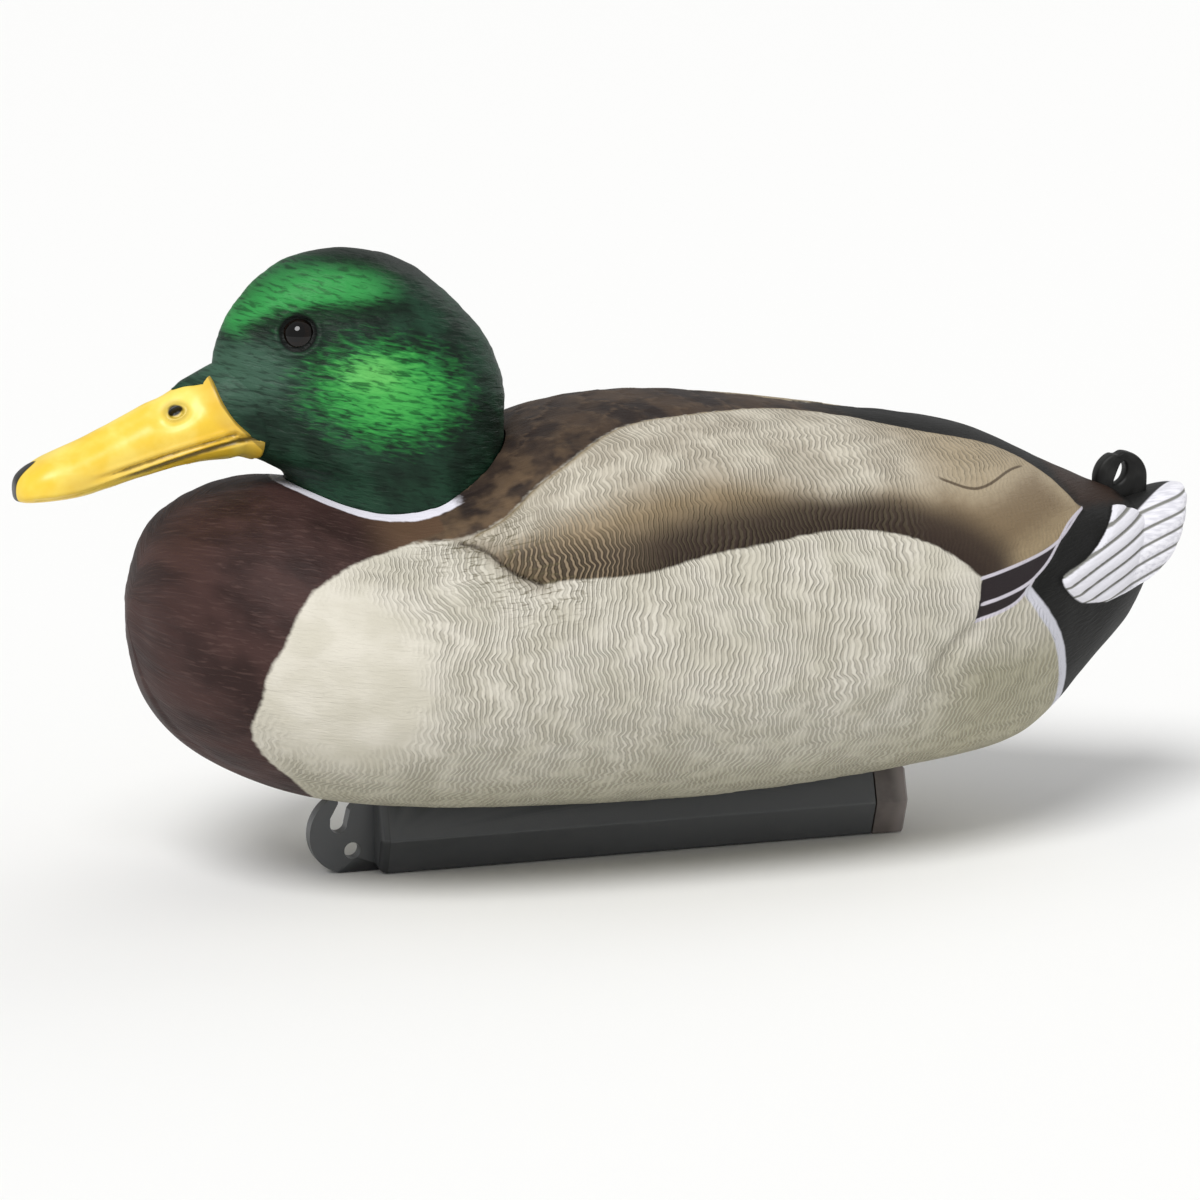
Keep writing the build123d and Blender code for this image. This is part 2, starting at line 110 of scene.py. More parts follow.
def smooth_run(rows, count, measure=None):
    """count rows on the natural cubic spline through rows, spread evenly along measure."""
    rows = np.array(rows, float)
    measure = rows if measure is None else measure
    knots = np.concatenate([[0], np.cumsum(np.linalg.norm(np.diff(measure, axis=0), axis=1))])
    gap = np.diff(knots)[:, None]
    size = len(rows)
    system, right = np.eye(size), np.zeros_like(rows)
    for i in range(1, size - 1):
        system[i, i - 1:i + 2] = gap[i - 1, 0], 2 * (gap[i - 1, 0] + gap[i, 0]), gap[i, 0]
        right[i] = 6 * ((rows[i + 1] - rows[i]) / gap[i] - (rows[i] - rows[i - 1]) / gap[i - 1])
    bend = np.linalg.solve(system, right)
    at = np.linspace(0, knots[-1], count)
    k = np.clip(np.searchsorted(knots, at) - 1, 0, size - 2)
    width, left = gap[k], (at - knots[k])[:, None]
    rest = width - left
    curved = (bend[k] * rest**3 + bend[k + 1] * left**3) / (6 * width)
    before = (rows[k] / width - bend[k] * width / 6) * rest
    after = (rows[k + 1] / width - bend[k + 1] * width / 6) * left
    return curved + before + after


def softened(line):
    """The line with its corners rounded, in steps of about two millimetres."""
    line = np.array(line, float)
    length = np.linalg.norm(np.diff(line, axis=0), axis=1).sum()
    return smooth_run(line, max(4, int(length / 2)))


def signed_power(value, exponent):
    return np.sign(value) * np.abs(value) ** exponent


def ease(share):
    share = np.clip(share, 0, 1)
    return share * share * (3 - 2 * share)


def away_from(line, places, closed=False):
    """The distance from each place to a line over the skin."""
    line = np.array(line, float)
    ends = np.roll(line, -1, axis=0) if closed else line[1:]
    nearest = np.full(len(places), np.inf)
    for start, end in zip(line, ends):
        run = end - start
        share = np.clip((places - start) @ run / max(run @ run, 1e-9), 0, 1)
        nearest = np.minimum(nearest, np.hypot(*(places - start - share[:, None] * run).T))
    return nearest


def beside(line, places):
    """The distance from each place to an open line, positive on its left and negative on its right."""
    line = np.array(line, float)
    nearest, signed = np.full(len(places), np.inf), np.zeros(len(places))
    for start, end in zip(line, line[1:]):
        run = end - start
        share = np.clip((places - start) @ run / max(run @ run, 1e-9), 0, 1)
        across, up = (places - start - share[:, None] * run).T
        distance = np.hypot(across, up)
        side = np.where(run[0] * up > run[1] * across, distance, -distance)
        signed = np.where(distance < nearest, side, signed)
        nearest = np.minimum(nearest, distance)
    return signed


def inside(outline, places):
    """How far each place lies inside a closed outline: negative outside it."""
    outline = np.array(outline, float)
    within = np.zeros(len(places), bool)
    for start, end in zip(outline, np.roll(outline, -1, axis=0)):
        if start[1] != end[1]:
            spans = (start[1] > places[:, 1]) != (end[1] > places[:, 1])
            slope = (end[0] - start[0]) / (end[1] - start[1])
            within ^= spans & (places[:, 0] < start[0] + (places[:, 1] - start[1]) * slope)
    distance = away_from(outline, places, closed=True)
    return np.where(within, distance, -distance)


def hills(places, size, seed):
    """Smooth hills and hollows from -1 to 1, about size apart."""
    table = np.random.default_rng(seed).uniform(-1, 1, (64, 64))
    spot = places / np.array(size, float)
    cell = np.floor(spot).astype(int)
    across, up = ease(spot - cell).T
    i, j = cell.T % 64
    near, far = (i + 1) % 64, (j + 1) % 64
    low = table[i, j] + (table[near, j] - table[i, j]) * across
    high = table[i, far] + (table[near, far] - table[i, far]) * across
    return low + (high - low) * up


def shingles(places, length, width):
    """From 0 at its root to 1 at its tip, how far along its feather each place lies. Every feather lies over
    the one behind it, in staggered rows."""
    pitch = np.array([length, width]) * 0.55
    row = np.floor(places[:, 1] / pitch[1])
    column = np.floor(places[:, 0] / pitch[0])
    foremost = np.full(len(places), np.inf)
    along = np.zeros(len(places))
    for j in range(-2, 3):
        for i in range(-2, 3):
            shift = 0.5 * ((row + j) % 2)
            centre_x = (column + i + shift) * pitch[0]
            centre_s = (row + j + 0.5) * pitch[1]
            reach = np.hypot((places[:, 0] - centre_x) / length, (places[:, 1] - centre_s) / width) / 0.62
            covers = (reach < 1) & (centre_x < foremost)
            foremost = np.where(covers, centre_x, foremost)
            along = np.where(covers, reach, along)
    return along


def outward(grid):
    """The outward unit normals of a grid of points that closes around its columns."""
    along = np.gradient(grid, axis=0)
    around = np.roll(grid, -1, axis=1) - np.roll(grid, 1, axis=1)
    normal = np.cross(around, along)
    return normal / np.maximum(np.linalg.norm(normal, axis=2, keepdims=True), 1e-9)


def closed_mesh(name, grid):
    """A smooth object over a grid of points, closed at both ends by a fan about their middle."""
    rows, columns = grid.shape[:2]
    points = np.concatenate([grid.reshape(-1, 3), [grid[0].mean(axis=0)], [grid[-1].mean(axis=0)]])
    index = np.arange(rows * columns).reshape(rows, columns)
    right = np.roll(index, -1, axis=1)
    quads = np.stack([index[:-1], right[:-1], right[1:], index[1:]], axis=-1).reshape(-1, 4).tolist()
    first = [(b, a, rows * columns) for a, b in zip(index[0].tolist(), right[0].tolist())]
    last = [(a, b, rows * columns + 1) for a, b in zip(index[-1].tolist(), right[-1].tolist())]
    mesh = bpy.data.meshes.new(name)
    mesh.from_pydata((points * MM).tolist(), [], quads + first + last)
    mesh.polygons.foreach_set("use_smooth", [True] * len(mesh.polygons))
    obj = bpy.data.objects.new(name, mesh)
    bpy.context.scene.collection.objects.link(obj)
    return obj


def turned(name, profile, centre_x, segments=96):
    """A round solid about an upright axis, from its profile of radius and height."""
    angle = np.linspace(0, 2 * math.pi, segments, endpoint=False)
    radius, height = np.array(profile, float).T[:, :, None]
    grid = np.stack([centre_x + radius * np.cos(angle), radius * np.sin(angle), height + 0 * angle], axis=-1)
    return closed_mesh(name, grid)


def cut_away(obj, cutter):
    """Cuts the cutter's shape out of obj and throws the cutter away."""
    boolean = obj.modifiers.new("cut", "BOOLEAN")
    boolean.operation, boolean.solver, boolean.object = "DIFFERENCE", "EXACT", cutter
    bpy.context.view_layer.update()
    cut = bpy.data.meshes.new_from_object(obj.evaluated_get(bpy.context.evaluated_depsgraph_get()))
    obj.modifiers.clear()
    obj.data = cut
    bpy.data.objects.remove(cutter)


def points_of(obj):
    """The object's vertices in millimetres."""
    points = np.empty(len(obj.data.vertices) * 3)
    obj.data.vertices.foreach_get("co", points)
    return points.reshape(-1, 3) / MM


def note(obj, name, values):
    """Writes one number or one vector at each vertex, for the paint to read."""
    kind = "FLOAT" if values.ndim == 1 else "FLOAT_VECTOR"
    field = obj.data.attributes.new(name, kind, "POINT")
    field.data.foreach_set("value" if kind == "FLOAT" else "vector", values.astype(np.float32).ravel())


stations = np.array(BODY_STATIONS)
body_runs = smooth_run(stations, BODY_ROWS,
                       np.column_stack([stations[:, 0], stations[:, 3], (stations[:, 1] - stations[:, 2]) / 2]))
station_x, top, bottom, half, wide = body_runs.T[:, :, None]
angle = np.linspace(0, 2 * math.pi, BODY_COLUMNS, endpoint=False)[None, :]
power = 2 / BODY_ROUNDNESS
rise = np.where(np.sin(angle) > 0, top - wide, wide - bottom)
body_grid = np.stack([station_x + 0 * angle, half * signed_power(np.cos(angle), power),
                      wide + rise * signed_power(np.sin(angle), power)], axis=-1)
turn = np.arctan2(np.sin(angle), np.abs(np.cos(angle))) + 0 * station_x
girth = (half + (top - bottom) / 2) / 2
skin = np.stack([station_x + 0 * angle, turn * girth], axis=-1).reshape(-1, 2)

crease, flank_top, wing_top = softened(CREASE), softened(FLANK_TOP[:10]), softened(WING_TOP)
flank_rear = np.array(FLANK_TOP[9:] + [(92, -2), (84, -12)], float)
flank_outline = [*crease, *flank_top, *softened(flank_rear), (84, -300), (-300, -300), (-300, 57)]
wing_outline = [*wing_top, *softened(WHITE_LINES[0]), *flank_top[::-1], *crease[::-1]]
mantle_outline = [*wing_top, (300, 31), (300, 300), (-300, 300), (-300, 59)]


def feather_step(x, z):
    """How many tail feathers up a point lies."""
    return (z - FEATHER_SLOPE * (x - FEATHER_START_X) - FEATHER_START_Z) / FEATHER_SPACING


def feather_groove(x, z):
    """1 in the grooves between the tail feathers and 0 on the feathers."""
    step = feather_step(x, z)
    return np.exp(-((step - np.round(step)) * FEATHER_SPACING / FEATHER_GROOVE_WIDTH) ** 2)


def body_relief(skin, lean, z):
    """How far the skin stands out of the mould's base form. lean is 1 at the sides and 0 on top."""
    x, s = skin.T
    flank, wing, mantle = (inside(line, skin) for line in (flank_outline, wing_outline, mantle_outline))
    there = ease((x + 80) / 18) * ease((s + 34) / 30)
    up = -0.5 - 0.8 * lean
    up += there * (FLANK_STEP * ease(flank / 1.6) + FLANK_SWELL * ease(flank / 14))
    up -= FLANK_TROUGH * there * np.exp(-(np.minimum(flank, 0) / 5) ** 2) * (flank < 0) * (x < 108)
    up += WING_STEP * (ease(wing / 1.4) + ease(wing / 20))
    up -= MANTLE_TROUGH * np.exp(-(mantle / 4) ** 2) * (wing < 0) * ease((x + 70) / 12)
    up -= TERTIAL_DEPTH * np.exp(-(away_from(softened(TERTIAL_GROOVE), skin) / 1.3) ** 2)
    up -= CREASE_DEPTH * np.exp(-(away_from(crease, skin) / 2.6) ** 2)
    for line in WHITE_LINES:
        up += WHITE_LINE_HEIGHT * ease((2.2 - away_from(line, skin)) / 1.2) * (wing < 0.5)
    mottled = ease(mantle / 3) * ease((90 - x) / 20) * ease((x + 74) / 6)
    up += 0.55 * (shingles(skin, *MANTLE_FEATHER) ** 2 - 0.5) * mottled
    feathered = ease((x + 112) / 30) * (1 - mottled)
    up += 0.30 * (shingles(skin + [7, 5], *SMOOTH_FEATHER) ** 3 - 0.3) * feathered * ease((120 - x) / 30)
    # The carver's uneven hand, and short strokes on the breast.
    up += 0.32 * hills(skin, 17, 3) + 0.16 * hills(skin, 8, 4)
    up += 0.15 * hills(skin, (5, 2.4), 5) * ease((-105 - x) / 20)
    up = np.minimum(up, -0.05)
    root = inside([*softened(FAN_ROOT[:7]), *FAN_ROOT[7:]], skin)
    raised = ease(root / 1.8)
    return up * (1 - raised) + (FAN_ROOT_HEIGHT - FAN_ROOT_GROOVE * feather_groove(x, z)) * raised


lift = body_relief(skin, np.cos(turn).reshape(-1) ** 2, body_grid[:, :, 2].reshape(-1)).reshape(turn.shape)
ends = np.minimum(np.arange(BODY_ROWS), np.arange(BODY_ROWS)[::-1])
lift = lift * ease((ends - 1) / 12)[:, None]
# The belly keeps its base form where the keel is seated.
seat = ease((-np.sin(turn) - 0.93) / 0.05)
lift = lift * (1 - seat) + 0.1 * seat
body = closed_mesh("painted_body", body_grid + outward(body_grid) * lift[:, :, None])

cut_away(body, turned("socket", [
    (0.01, 82), (16, 82), (16, 99.5), (11.6, 99.5), (11.6, SOCKET_FLOOR_Z), (SOCKET_RADIUS, SOCKET_FLOOR_Z),
    (SOCKET_RADIUS, 200), (0.01, 200)], NECK_X, 128))
cut_away(body, turned("plug_seat", [
    (0.01, 0), (6.8, 0), (6.8, 29.6), (4.05, 29.6), (4.05, 34), (6, 34), (6, 42), (0.01, 42)], PLUG_X, 64))
body.data.set_sharp_from_angle(angle=math.radians(45))

points = points_of(body)
x, y, z = points.T
top, bottom, half, wide = (np.interp(x, body_runs[:, 0], body_runs[:, i]) for i in range(1, 5))
rise = np.maximum(np.where(z > wide, top - wide, wide - bottom), 0.1)
upright = (np.abs(z - wide) / rise) ** (1 / power)
across = (np.abs(y) / np.maximum(half, 0.1)) ** (1 / power)
skin = np.column_stack([x, np.arctan2(np.sign(z - wide) * upright, across) * (half + (top - bottom) / 2) / 2])
x, s = skin.T

note(body, "skin", np.column_stack([skin, np.zeros(len(skin))]))
note(body, "wing", inside(wing_outline, skin))
note(body, "flank", inside(flank_outline, skin))
note(body, "mantle", np.minimum(inside(mantle_outline, skin), x + 84))
note(body, "scallop", shingles(skin, *MANTLE_FEATHER))
note(body, "crease", away_from(crease, skin))
note(body, "flank_edge", away_from(flank_top, skin))
note(body, "wing_edge", away_from(wing_top, skin))
note(body, "breast", inside([*softened(BREAST_EDGE), (-110, -300), (-400, -300), (-400, 300), (-74, 300),
                             (-74, 64), (-80, 62), (-88, 58)], skin))
note(body, "brown", inside([*softened(BROWN_LINE), (156, -60), (-60, -60)], skin))
note(body, "tertial", inside([(90, 64), *softened(TERTIAL_GROOVE), (140, 60), (156, 31), (104, 12), (84, 34)],
                             skin))
note(body, "tertial_groove", beside(softened(TERTIAL_GROOVE), skin))
note(body, "speculum", inside([*WHITE_LINES[0], (100, 2), (109, 3), (118, 5), (126, 11), (134, 16), (146, 27)],
                              skin))
for i, white_line in enumerate(WHITE_LINES):
    note(body, f"white_line_{i}", beside(softened(white_line), skin))
note(body, "rump_band", away_from(softened(RUMP_BAND), skin))
note(body, "black", inside([(156, 31), (146, 27), (134, 16), (126, 11), *softened(RUMP_BAND), (150, -300),
                            (400, -300), (400, 300), (48, 300), (48, 103), (65, 102), (85, 94), (100, 85),
                            (118, 76), (136, 63), (147, 48)], skin))
note(body, "tail_top", inside([(150, 50), (156, 33), (179, 27), (182, 70), (150, 90)], skin))
azimuth = np.degrees(np.arctan2(np.abs(y), -(x - NECK_X)))
ring = np.minimum(NECK_RING_RADIUS - np.hypot(x - NECK_X, y), (NECK_RING_END - azimuth) * 0.14)
note(body, "ring", np.minimum(ring, z - 100))
note(body, "fan_root", inside([*softened(FAN_ROOT[:7]), *FAN_ROOT[7:]], skin))
note(body, "feather_step", feather_step(x, z))
note(body, "smooth_chest", 1 - np.hypot((x + 114) / 34, (s + 2) / 46))

# Sprayed vinyl-acrylic paint over polyethylene: matt, with soft overlaps where the masks lift. The feather
# barbs are moulded lines 1.8 mm apart; the paint is darker in their grooves, and near the shoulder a painted
# highlight runs along their crests.
BARB_PITCH = 1.8
BARB_SWAY = 3.6
BARB_LEAN = 11.0
PAINT_RELIEF = 0.55
FEATHER_WHITE, GROOVE_GREY, RUMP_BLACK = "#e9e8ef", "#6d6d63", "#131312"


def tint(code):
    """An sRGB hex colour as linear RGBA."""
    parts = [int(code[i:i + 2], 16) / 255 for i in (1, 3, 5)]
    return (*(c / 12.92 if c <= 0.04045 else ((c + 0.055) / 1.055) ** 2.4 for c in parts), 1)


def add(tree, kind, inputs=(), output=0, **settings):
    """Adds a node with its settings and links, and gives its output. inputs maps its sockets to a value, to a
    hex colour or to another node's output."""
    node = tree.nodes.new("ShaderNode" + kind)
    for name, value in settings.items():
        setattr(node, name, value)
    for key, value in dict(inputs).items():
        if isinstance(value, bpy.types.NodeSocket):
            tree.links.new(value, node.inputs[key])
        else:
            node.inputs[key].default_value = tint(value) if isinstance(value, str) else value
    return node.outputs[output]


def finish_named(name, roughness, ior=1.5, **sockets):
    """A material of that name, and its shader with the finish's own numbers set."""
    material = bpy.data.materials.new(name)
    material.use_nodes = True
    tree = material.node_tree
    shader = tree.nodes["Principled BSDF"]
    shader.inputs["Roughness"].default_value = roughness
    shader.inputs["IOR"].default_value = ior
    for key, value in sockets.items():
        shader.inputs[key.replace("_", " ")].default_value = value
    return material, tree, shader


def let_through(tree, *masks):
    """The share of a coat that its masks let through together. A mask is a share, or else a note's name or a
    node's output, with the two values between which it opens and, if not 0 and 1, its share at each."""
    share = None
    for mask in masks:
        if isinstance(mask, tuple):
            value, shut, opened, *shares = mask
            at_shut, at_open = shares or (0.0, 1.0)
            if isinstance(value, str):
                value = add(tree, "Attribute", output="Fac", attribute_name=value)
            sockets = {"Value": value, "From Min": shut, "From Max": opened,
                       "To Min": at_shut, "To Max": at_open}
            mask = add(tree, "MapRange", sockets, interpolation_type="SMOOTHSTEP")
        share = mask if share is None else add(tree, "Math", {0: share, 1: mask}, operation="MULTIPLY")
    return share


def sprayed(tree, under, over, *masks):
    """A coat of colour over another, through its masks."""
    # A mix of colours has its share at socket 0, its two colours at 6 and 7, and its result at output 2.
    return add(tree, "Mix", {0: let_through(tree, *masks), 6: under, 7: over}, output=2, data_type="RGBA")


def ragged_note(tree, name, noise, amount):
    """What was noted at the vertices under that name, moved by a noise so that the paint ends raggedly."""
    noted = add(tree, "Attribute", output="Fac", attribute_name=name)
    return add(tree, "Math", {0: noise, 1: amount, 2: noted}, operation="MULTIPLY_ADD")


def off_line(tree, name):
    """How far each point lies from a fine noted line, on either side of it."""
    noted = add(tree, "Attribute", output="Fac", attribute_name=name)
    return add(tree, "Math", {0: noted}, operation="ABSOLUTE")


def off_feather_groove(tree):
    """How far each point lies from the nearest groove between tail feathers, in feathers."""
    step = add(tree, "Attribute", output="Fac", attribute_name="feather_step")
    step = add(tree, "Math", {0: step, 1: 0.5}, operation="ADD")
    step = add(tree, "Math", {0: step}, operation="FRACT")
    step = add(tree, "Math", {0: step, 1: 0.5}, operation="SUBTRACT")
    return add(tree, "Math", {0: step}, operation="ABSOLUTE")


paint, tree, shader = finish_named("sprayed_matt_paint_on_moulded_polyethylene", 0.62, Specular_IOR_Level=0.14)
skin_place = add(tree, "Attribute", output="Vector", attribute_name="skin")
along = add(tree, "SeparateXYZ", {0: skin_place}, output="X")
above = add(tree, "SeparateXYZ", {0: skin_place}, output="Y")
# Scales are per millimetre of skin: coats end raggedly every 3 mm, clouds are 18 mm, breaks in a coat 8 mm and
# spray grain 0.6 mm. Brush strokes are 4.5 mm long and 1.1 mm wide.
ragged = add(tree, "TexNoise", {"Vector": skin_place, "Scale": 0.35, "Detail": 3.0})
cloudy = add(tree, "TexNoise", {"Vector": skin_place, "Scale": 0.055, "Detail": 3.0})
broken = add(tree, "TexNoise", {"Vector": skin_place, "Scale": 0.12, "Detail": 2.0})
coarse = add(tree, "TexNoise", {"Vector": skin_place, "Scale": 1.6, "Detail": 2.0})
stretched = add(tree, "Mapping", {"Vector": skin_place, "Scale": (1 / 4.5, 1 / 1.1, 1)})
strokes = add(tree, "TexNoise", {"Vector": stretched, "Scale": 1.0, "Detail": 3.0, "Distortion": 0.6})
centred = add(tree, "Math", {0: ragged, 1: 0.5}, operation="SUBTRACT")


def edge(name, soft=0.8, rough=1.5, at=0.0):
    """The share of a coat: full inside its mask, none outside, with a soft and slightly ragged edge."""
    return let_through(tree, (ragged_note(tree, name, centred, rough), at - soft, at + soft))


def line(name, half_width, soft=0.6, rough=0.6):
    """The share of a painted line of that half width."""
    moved = ragged_note(tree, name, centred, rough)
    return let_through(tree, (moved, half_width - soft, half_width + soft, 1.0, 0.0))


# The barbs run down the side in small waves that neighbours share, and lean this way and that over a feather.
lean_place = add(tree, "Mapping", {"Vector": skin_place, "Scale": (1 / 30, 1 / 24, 1)})
leaning = add(tree, "TexNoise", {"Vector": lean_place, "Scale": 1.0, "Detail": 0.0}, output="Color")
leant = add(tree, "VectorMath", {0: leaning, 1: (BARB_LEAN, 3.0, 0.0), 2: skin_place}, operation="MULTIPLY_ADD")
sway_place = add(tree, "Mapping", {"Vector": skin_place, "Scale": (1 / 13, 1 / 4.2, 1)})
swaying = add(tree, "TexNoise", {"Vector": sway_place, "Scale": 1.0, "Detail": 1.0}, output="Color")
swayed = add(tree, "VectorMath", {0: swaying, 1: (BARB_SWAY, 0.0, 0.0), 2: leant}, operation="MULTIPLY_ADD")
barbs = add(tree, "TexWave", {"Vector": swayed, "Scale": 2 * math.pi / 20 / BARB_PITCH, "Distortion": 1.8,
                              "Detail": 1.0, "Detail Scale": 1.3, "Detail Roughness": 0.5},
            output="Fac", wave_type="BANDS", bands_direction="X", wave_profile="SIN")
barbed = let_through(
    tree, ("breast", -6.0, 3.0, 1.0, 0.0), ("mantle", -3.0, 1.0, 1.0, 0.0), ("black", -2.0, 1.0, 1.0, 0.0),
    ("speculum", -1.5, 0.5, 1.0, 0.0), ("tertial", -14.0, 6.0, 1.0, 0.12), ("fan_root", -2.0, 0.0, 1.0, 0.0),
    (ragged_note(tree, "smooth_chest", broken, 0.8), 0.35, 0.8, 1.0, 0.0), (broken, 0.34, 0.56, 0.45, 1.0))

# Flank and belly: warm grey-cream, darkened low down as painted shade under the belly, and browner towards the
# rump.
coat = sprayed(tree, "#cac5b6", "#d6d1c4", (cloudy, 0.35, 0.65))
coat = sprayed(tree, coat, "#aca894", (above, -70.0, -20.0, 0.75, 0.0))
coat = sprayed(tree, coat, "#b3ae98", (along, 70.0, 110.0), (above, 0.0, -20.0))
# Folded wing: pale on top, brown towards the flank and the tip, and darkened nearly to black by painted shade
# where it tucks under the flank.
feather = sprayed(tree, "#bcb4a4", "#cdc6b6", (cloudy, 0.4, 0.62))
feather = sprayed(tree, feather, "#8a7658", ("brown", -9.0, 8.0, 0.0, 0.9))
feather = sprayed(tree, feather, "#a08e70", (along, 70.0, 110.0), 0.75)
feather = sprayed(tree, feather, "#6d5b45", edge("tertial", 7.0, 6.0, 6.0), 0.7)
# Painted shade: a dark band on the wing above the flank's edge, darkest right along the edge.
feather = sprayed(tree, feather, "#3c312a", ("flank", -21.0, -7.0), ("brown", -6.0, 4.0), 0.95)
feather = sprayed(tree, feather, "#332823", line("flank_edge", 5.5, 5.0, 3.0), 0.85)
# Near the shoulder the barbs' crests are painted paler over the brown: a painted highlight along the crests.
feather = sprayed(tree, feather, "#a8957a", (barbs, 0.45, 0.95), (along, -6.0, -34.0), ("brown", -8.0, 2.0),
                  0.62)
feather = sprayed(tree, feather, "#8b7a5c", line("wing_edge", 1.2, 1.4, 1.5))
feather = sprayed(tree, feather, "#4b3d2f", (off_line(tree, "tertial_groove"), 0.3, 0.9, 1.0, 0.0),
                  (along, 93.5, 97.0), (along, 135.0, 131.0), 0.85)
coat = sprayed(tree, coat, feather, edge("wing", 0.6, 1.0))
# Painted shade in and about the shoulder crease: a brown band, a dark line in the crease itself and darker
# strokes out to 14 mm.
coat = sprayed(tree, coat, "#6f5f4a", line("crease", 3.0, 4.0, 5.0), 0.55)
coat = sprayed(tree, coat, "#2a211c", line("crease", 0.9, 0.6, 1.2), 0.75)
coat = sprayed(tree, coat, "#5f573f", line("crease", 14.0, 12.0, 8.0), (strokes, 0.52, 0.66), 0.75)
coat = sprayed(tree, coat, "#5f5743", (barbs, 0.25, 0.75, 1.0, 0.0), barbed, 0.36)
# Mantle: dark brown feathers with paler rims.
plume = sprayed(tree, "#2b2320", "#46392f", (cloudy, 0.4, 0.6))
plume = sprayed(tree, plume, "#6d5944", ("mantle", 4.0, 22.0, 1.0, 0.0), (along, -10.0, -45.0),
                (broken, 0.36, 0.64), 0.85)
plume = sprayed(tree, plume, "#5a4a3b", ("scallop", 0.66, 0.96), (ragged, 0.35, 0.6), (broken, 0.35, 0.6), 0.7)
coat = sprayed(tree, coat, plume, edge("mantle", 1.2, 3.0))
black_from = add(tree, "Math", {0: centred, 1: 30.0, 2: along}, operation="MULTIPLY_ADD")
coat = sprayed(tree, coat, RUMP_BLACK, edge("black", 0.5, 0.8), (black_from, 54.0, 84.0))
coat = sprayed(tree, coat, "#33261f", edge("tail_top", 4.0, 4.0))
# Speculum: a dark bar between white-edged lines.
coat = sprayed(tree, coat, "#2d2729", edge("speculum", 0.4, 0.2))
for i, white_line in enumerate(WHITE_LINES):
    line_end = white_line[0][0]
    coat = sprayed(tree, coat, "#cdc8d2", (off_line(tree, f"white_line_{i}"), 0.35, 0.85, 1.0, 0.0),
                   ("flank", 0.2, -0.3), (along, line_end + 0.4, line_end - 0.6))
coat = sprayed(tree, coat, "#cfcfd8", line("rump_band", 1.9, 0.5, 0.8))
fan_white = sprayed(tree, FEATHER_WHITE, GROOVE_GREY, (off_feather_groove(tree), 0.05, 0.16, 0.9, 0.0))
coat = sprayed(tree, coat, fan_white, edge("fan_root", 0.35, 0.5, 0.3))
# Breast: chestnut, with short paler strokes.
chest = sprayed(tree, "#30211f", "#44302d", (cloudy, 0.35, 0.65))
chest = sprayed(tree, chest, "#5d4843", (strokes, 0.52, 0.72), 0.4)
chest = sprayed(tree, chest, "#5b4636", (along, -104.0, -86.0), (above, 30.0, 50.0))
coat = sprayed(tree, coat, chest, edge("breast", 0.7, 1.6))
coat = sprayed(tree, coat, "#e6e4ee", edge("ring", 0.5, 1.2))
tree.links.new(coat, shader.inputs["Base Color"])

barb_height = let_through(tree, (barbs, 0.1, 0.9), barbed)
stroke_height = let_through(tree, strokes, (barbed, 0.0, 0.6, 0.55, 0.10))
height = add(tree, "Math", {0: barb_height, 1: 0.85, 2: stroke_height}, operation="MULTIPLY_ADD")
height = add(tree, "Math", {0: coarse, 1: 0.08, 2: height}, operation="MULTIPLY_ADD")
relief = add(tree, "Bump", {"Height": height, "Strength": 1.0, "Distance": PAINT_RELIEF * MM})
tree.links.new(relief, shader.inputs["Normal"])
dullness = add(tree, "Math", {0: cloudy, 1: 0.12, 2: 0.5}, operation="MULTIPLY_ADD")
tree.links.new(dullness, shader.inputs["Roughness"])
body.data.materials.clear()
body.data.materials.append(paint)
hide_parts("body_shell")
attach(body, "hull")

# ---------------------------------------------------------------- tail fan
# The tail feathers are part of the same moulding: an arched fan, thick in its middle, whose feathers overlap
# from the top down and end in a stepped edge. It is brushed white, and the grooves between its feathers are
# painted grey.
FAN_STATIONS = [
    (158.0, 106.0, 82.5, 35.0),
    (166.0, 107.6, 83.6, 32.2),
    (172.0, 109.0, 84.3, 30.0),
    (178.0, 110.3, 85.0, 27.4),
    (184.0, 111.6, 86.3, 24.4),
    (190.0, 113.0, 89.0, 21.4),
    (196.0, 114.5, 93.5, 18.3),
    (203.0, 115.5, 103.5, 12.5),
    (206.5, 115.0, 110.0, 6.5),
]
FAN_HOLLOW = 0.35
FAN_EDGE = 2.0
ARCH_POWER = 0.95


def arch(half, edge_z, ridge, count):
    """count points on the arch from its right edge over the ridge to its left edge, as across and up."""
    angle = np.linspace(0, math.pi, count)
    return np.column_stack([half * signed_power(np.cos(angle), ARCH_POWER),
                            edge_z + (ridge - edge_z) * signed_power(np.sin(angle), ARCH_POWER)])


fan_rows = []
for x, ridge, edge_z, half_width in smooth_run(FAN_STATIONS, 96):
    outer = arch(half_width, edge_z, ridge, 180)
    below = edge_z + FAN_HOLLOW * (ridge - edge_z)
    inner = arch(half_width - FAN_EDGE, edge_z, below, 60)[::-1]
    fold = 0.1 + 0.8 * feather_groove(x, outer[:, 1])
    lean = outer / np.array([half_width, 1e9])
    outer = outer - np.column_stack([np.clip(lean[:, 0], -1, 1) * fold, 0.35 * fold])
    ring = np.concatenate([outer, inner])
    fan_rows.append(np.column_stack([np.full(len(ring), x), ring]))
fan_grid = np.array(fan_rows)
fan = closed_mesh("tail_fan", fan_grid)
fan.data.set_sharp_from_angle(angle=math.radians(55))
x, y, z = points_of(fan).T
note(fan, "feather_step", feather_step(x, z))
note(fan, "crown", np.minimum((203 - x) * 0.7 - np.abs(y), z - 100))
ring_place = np.arange(len(x)) % fan_grid.shape[1]
note(fan, "underneath", (ring_place >= len(outer)) * 1.0)

# White brushed paint over the moulded polyethylene: matt, a little blue, greyer in the grooves.
white_paint, tree, shader = finish_named("brushed_white_paint_on_moulded_polyethylene", 0.55)
place = add(tree, "TexCoord", output="Object")
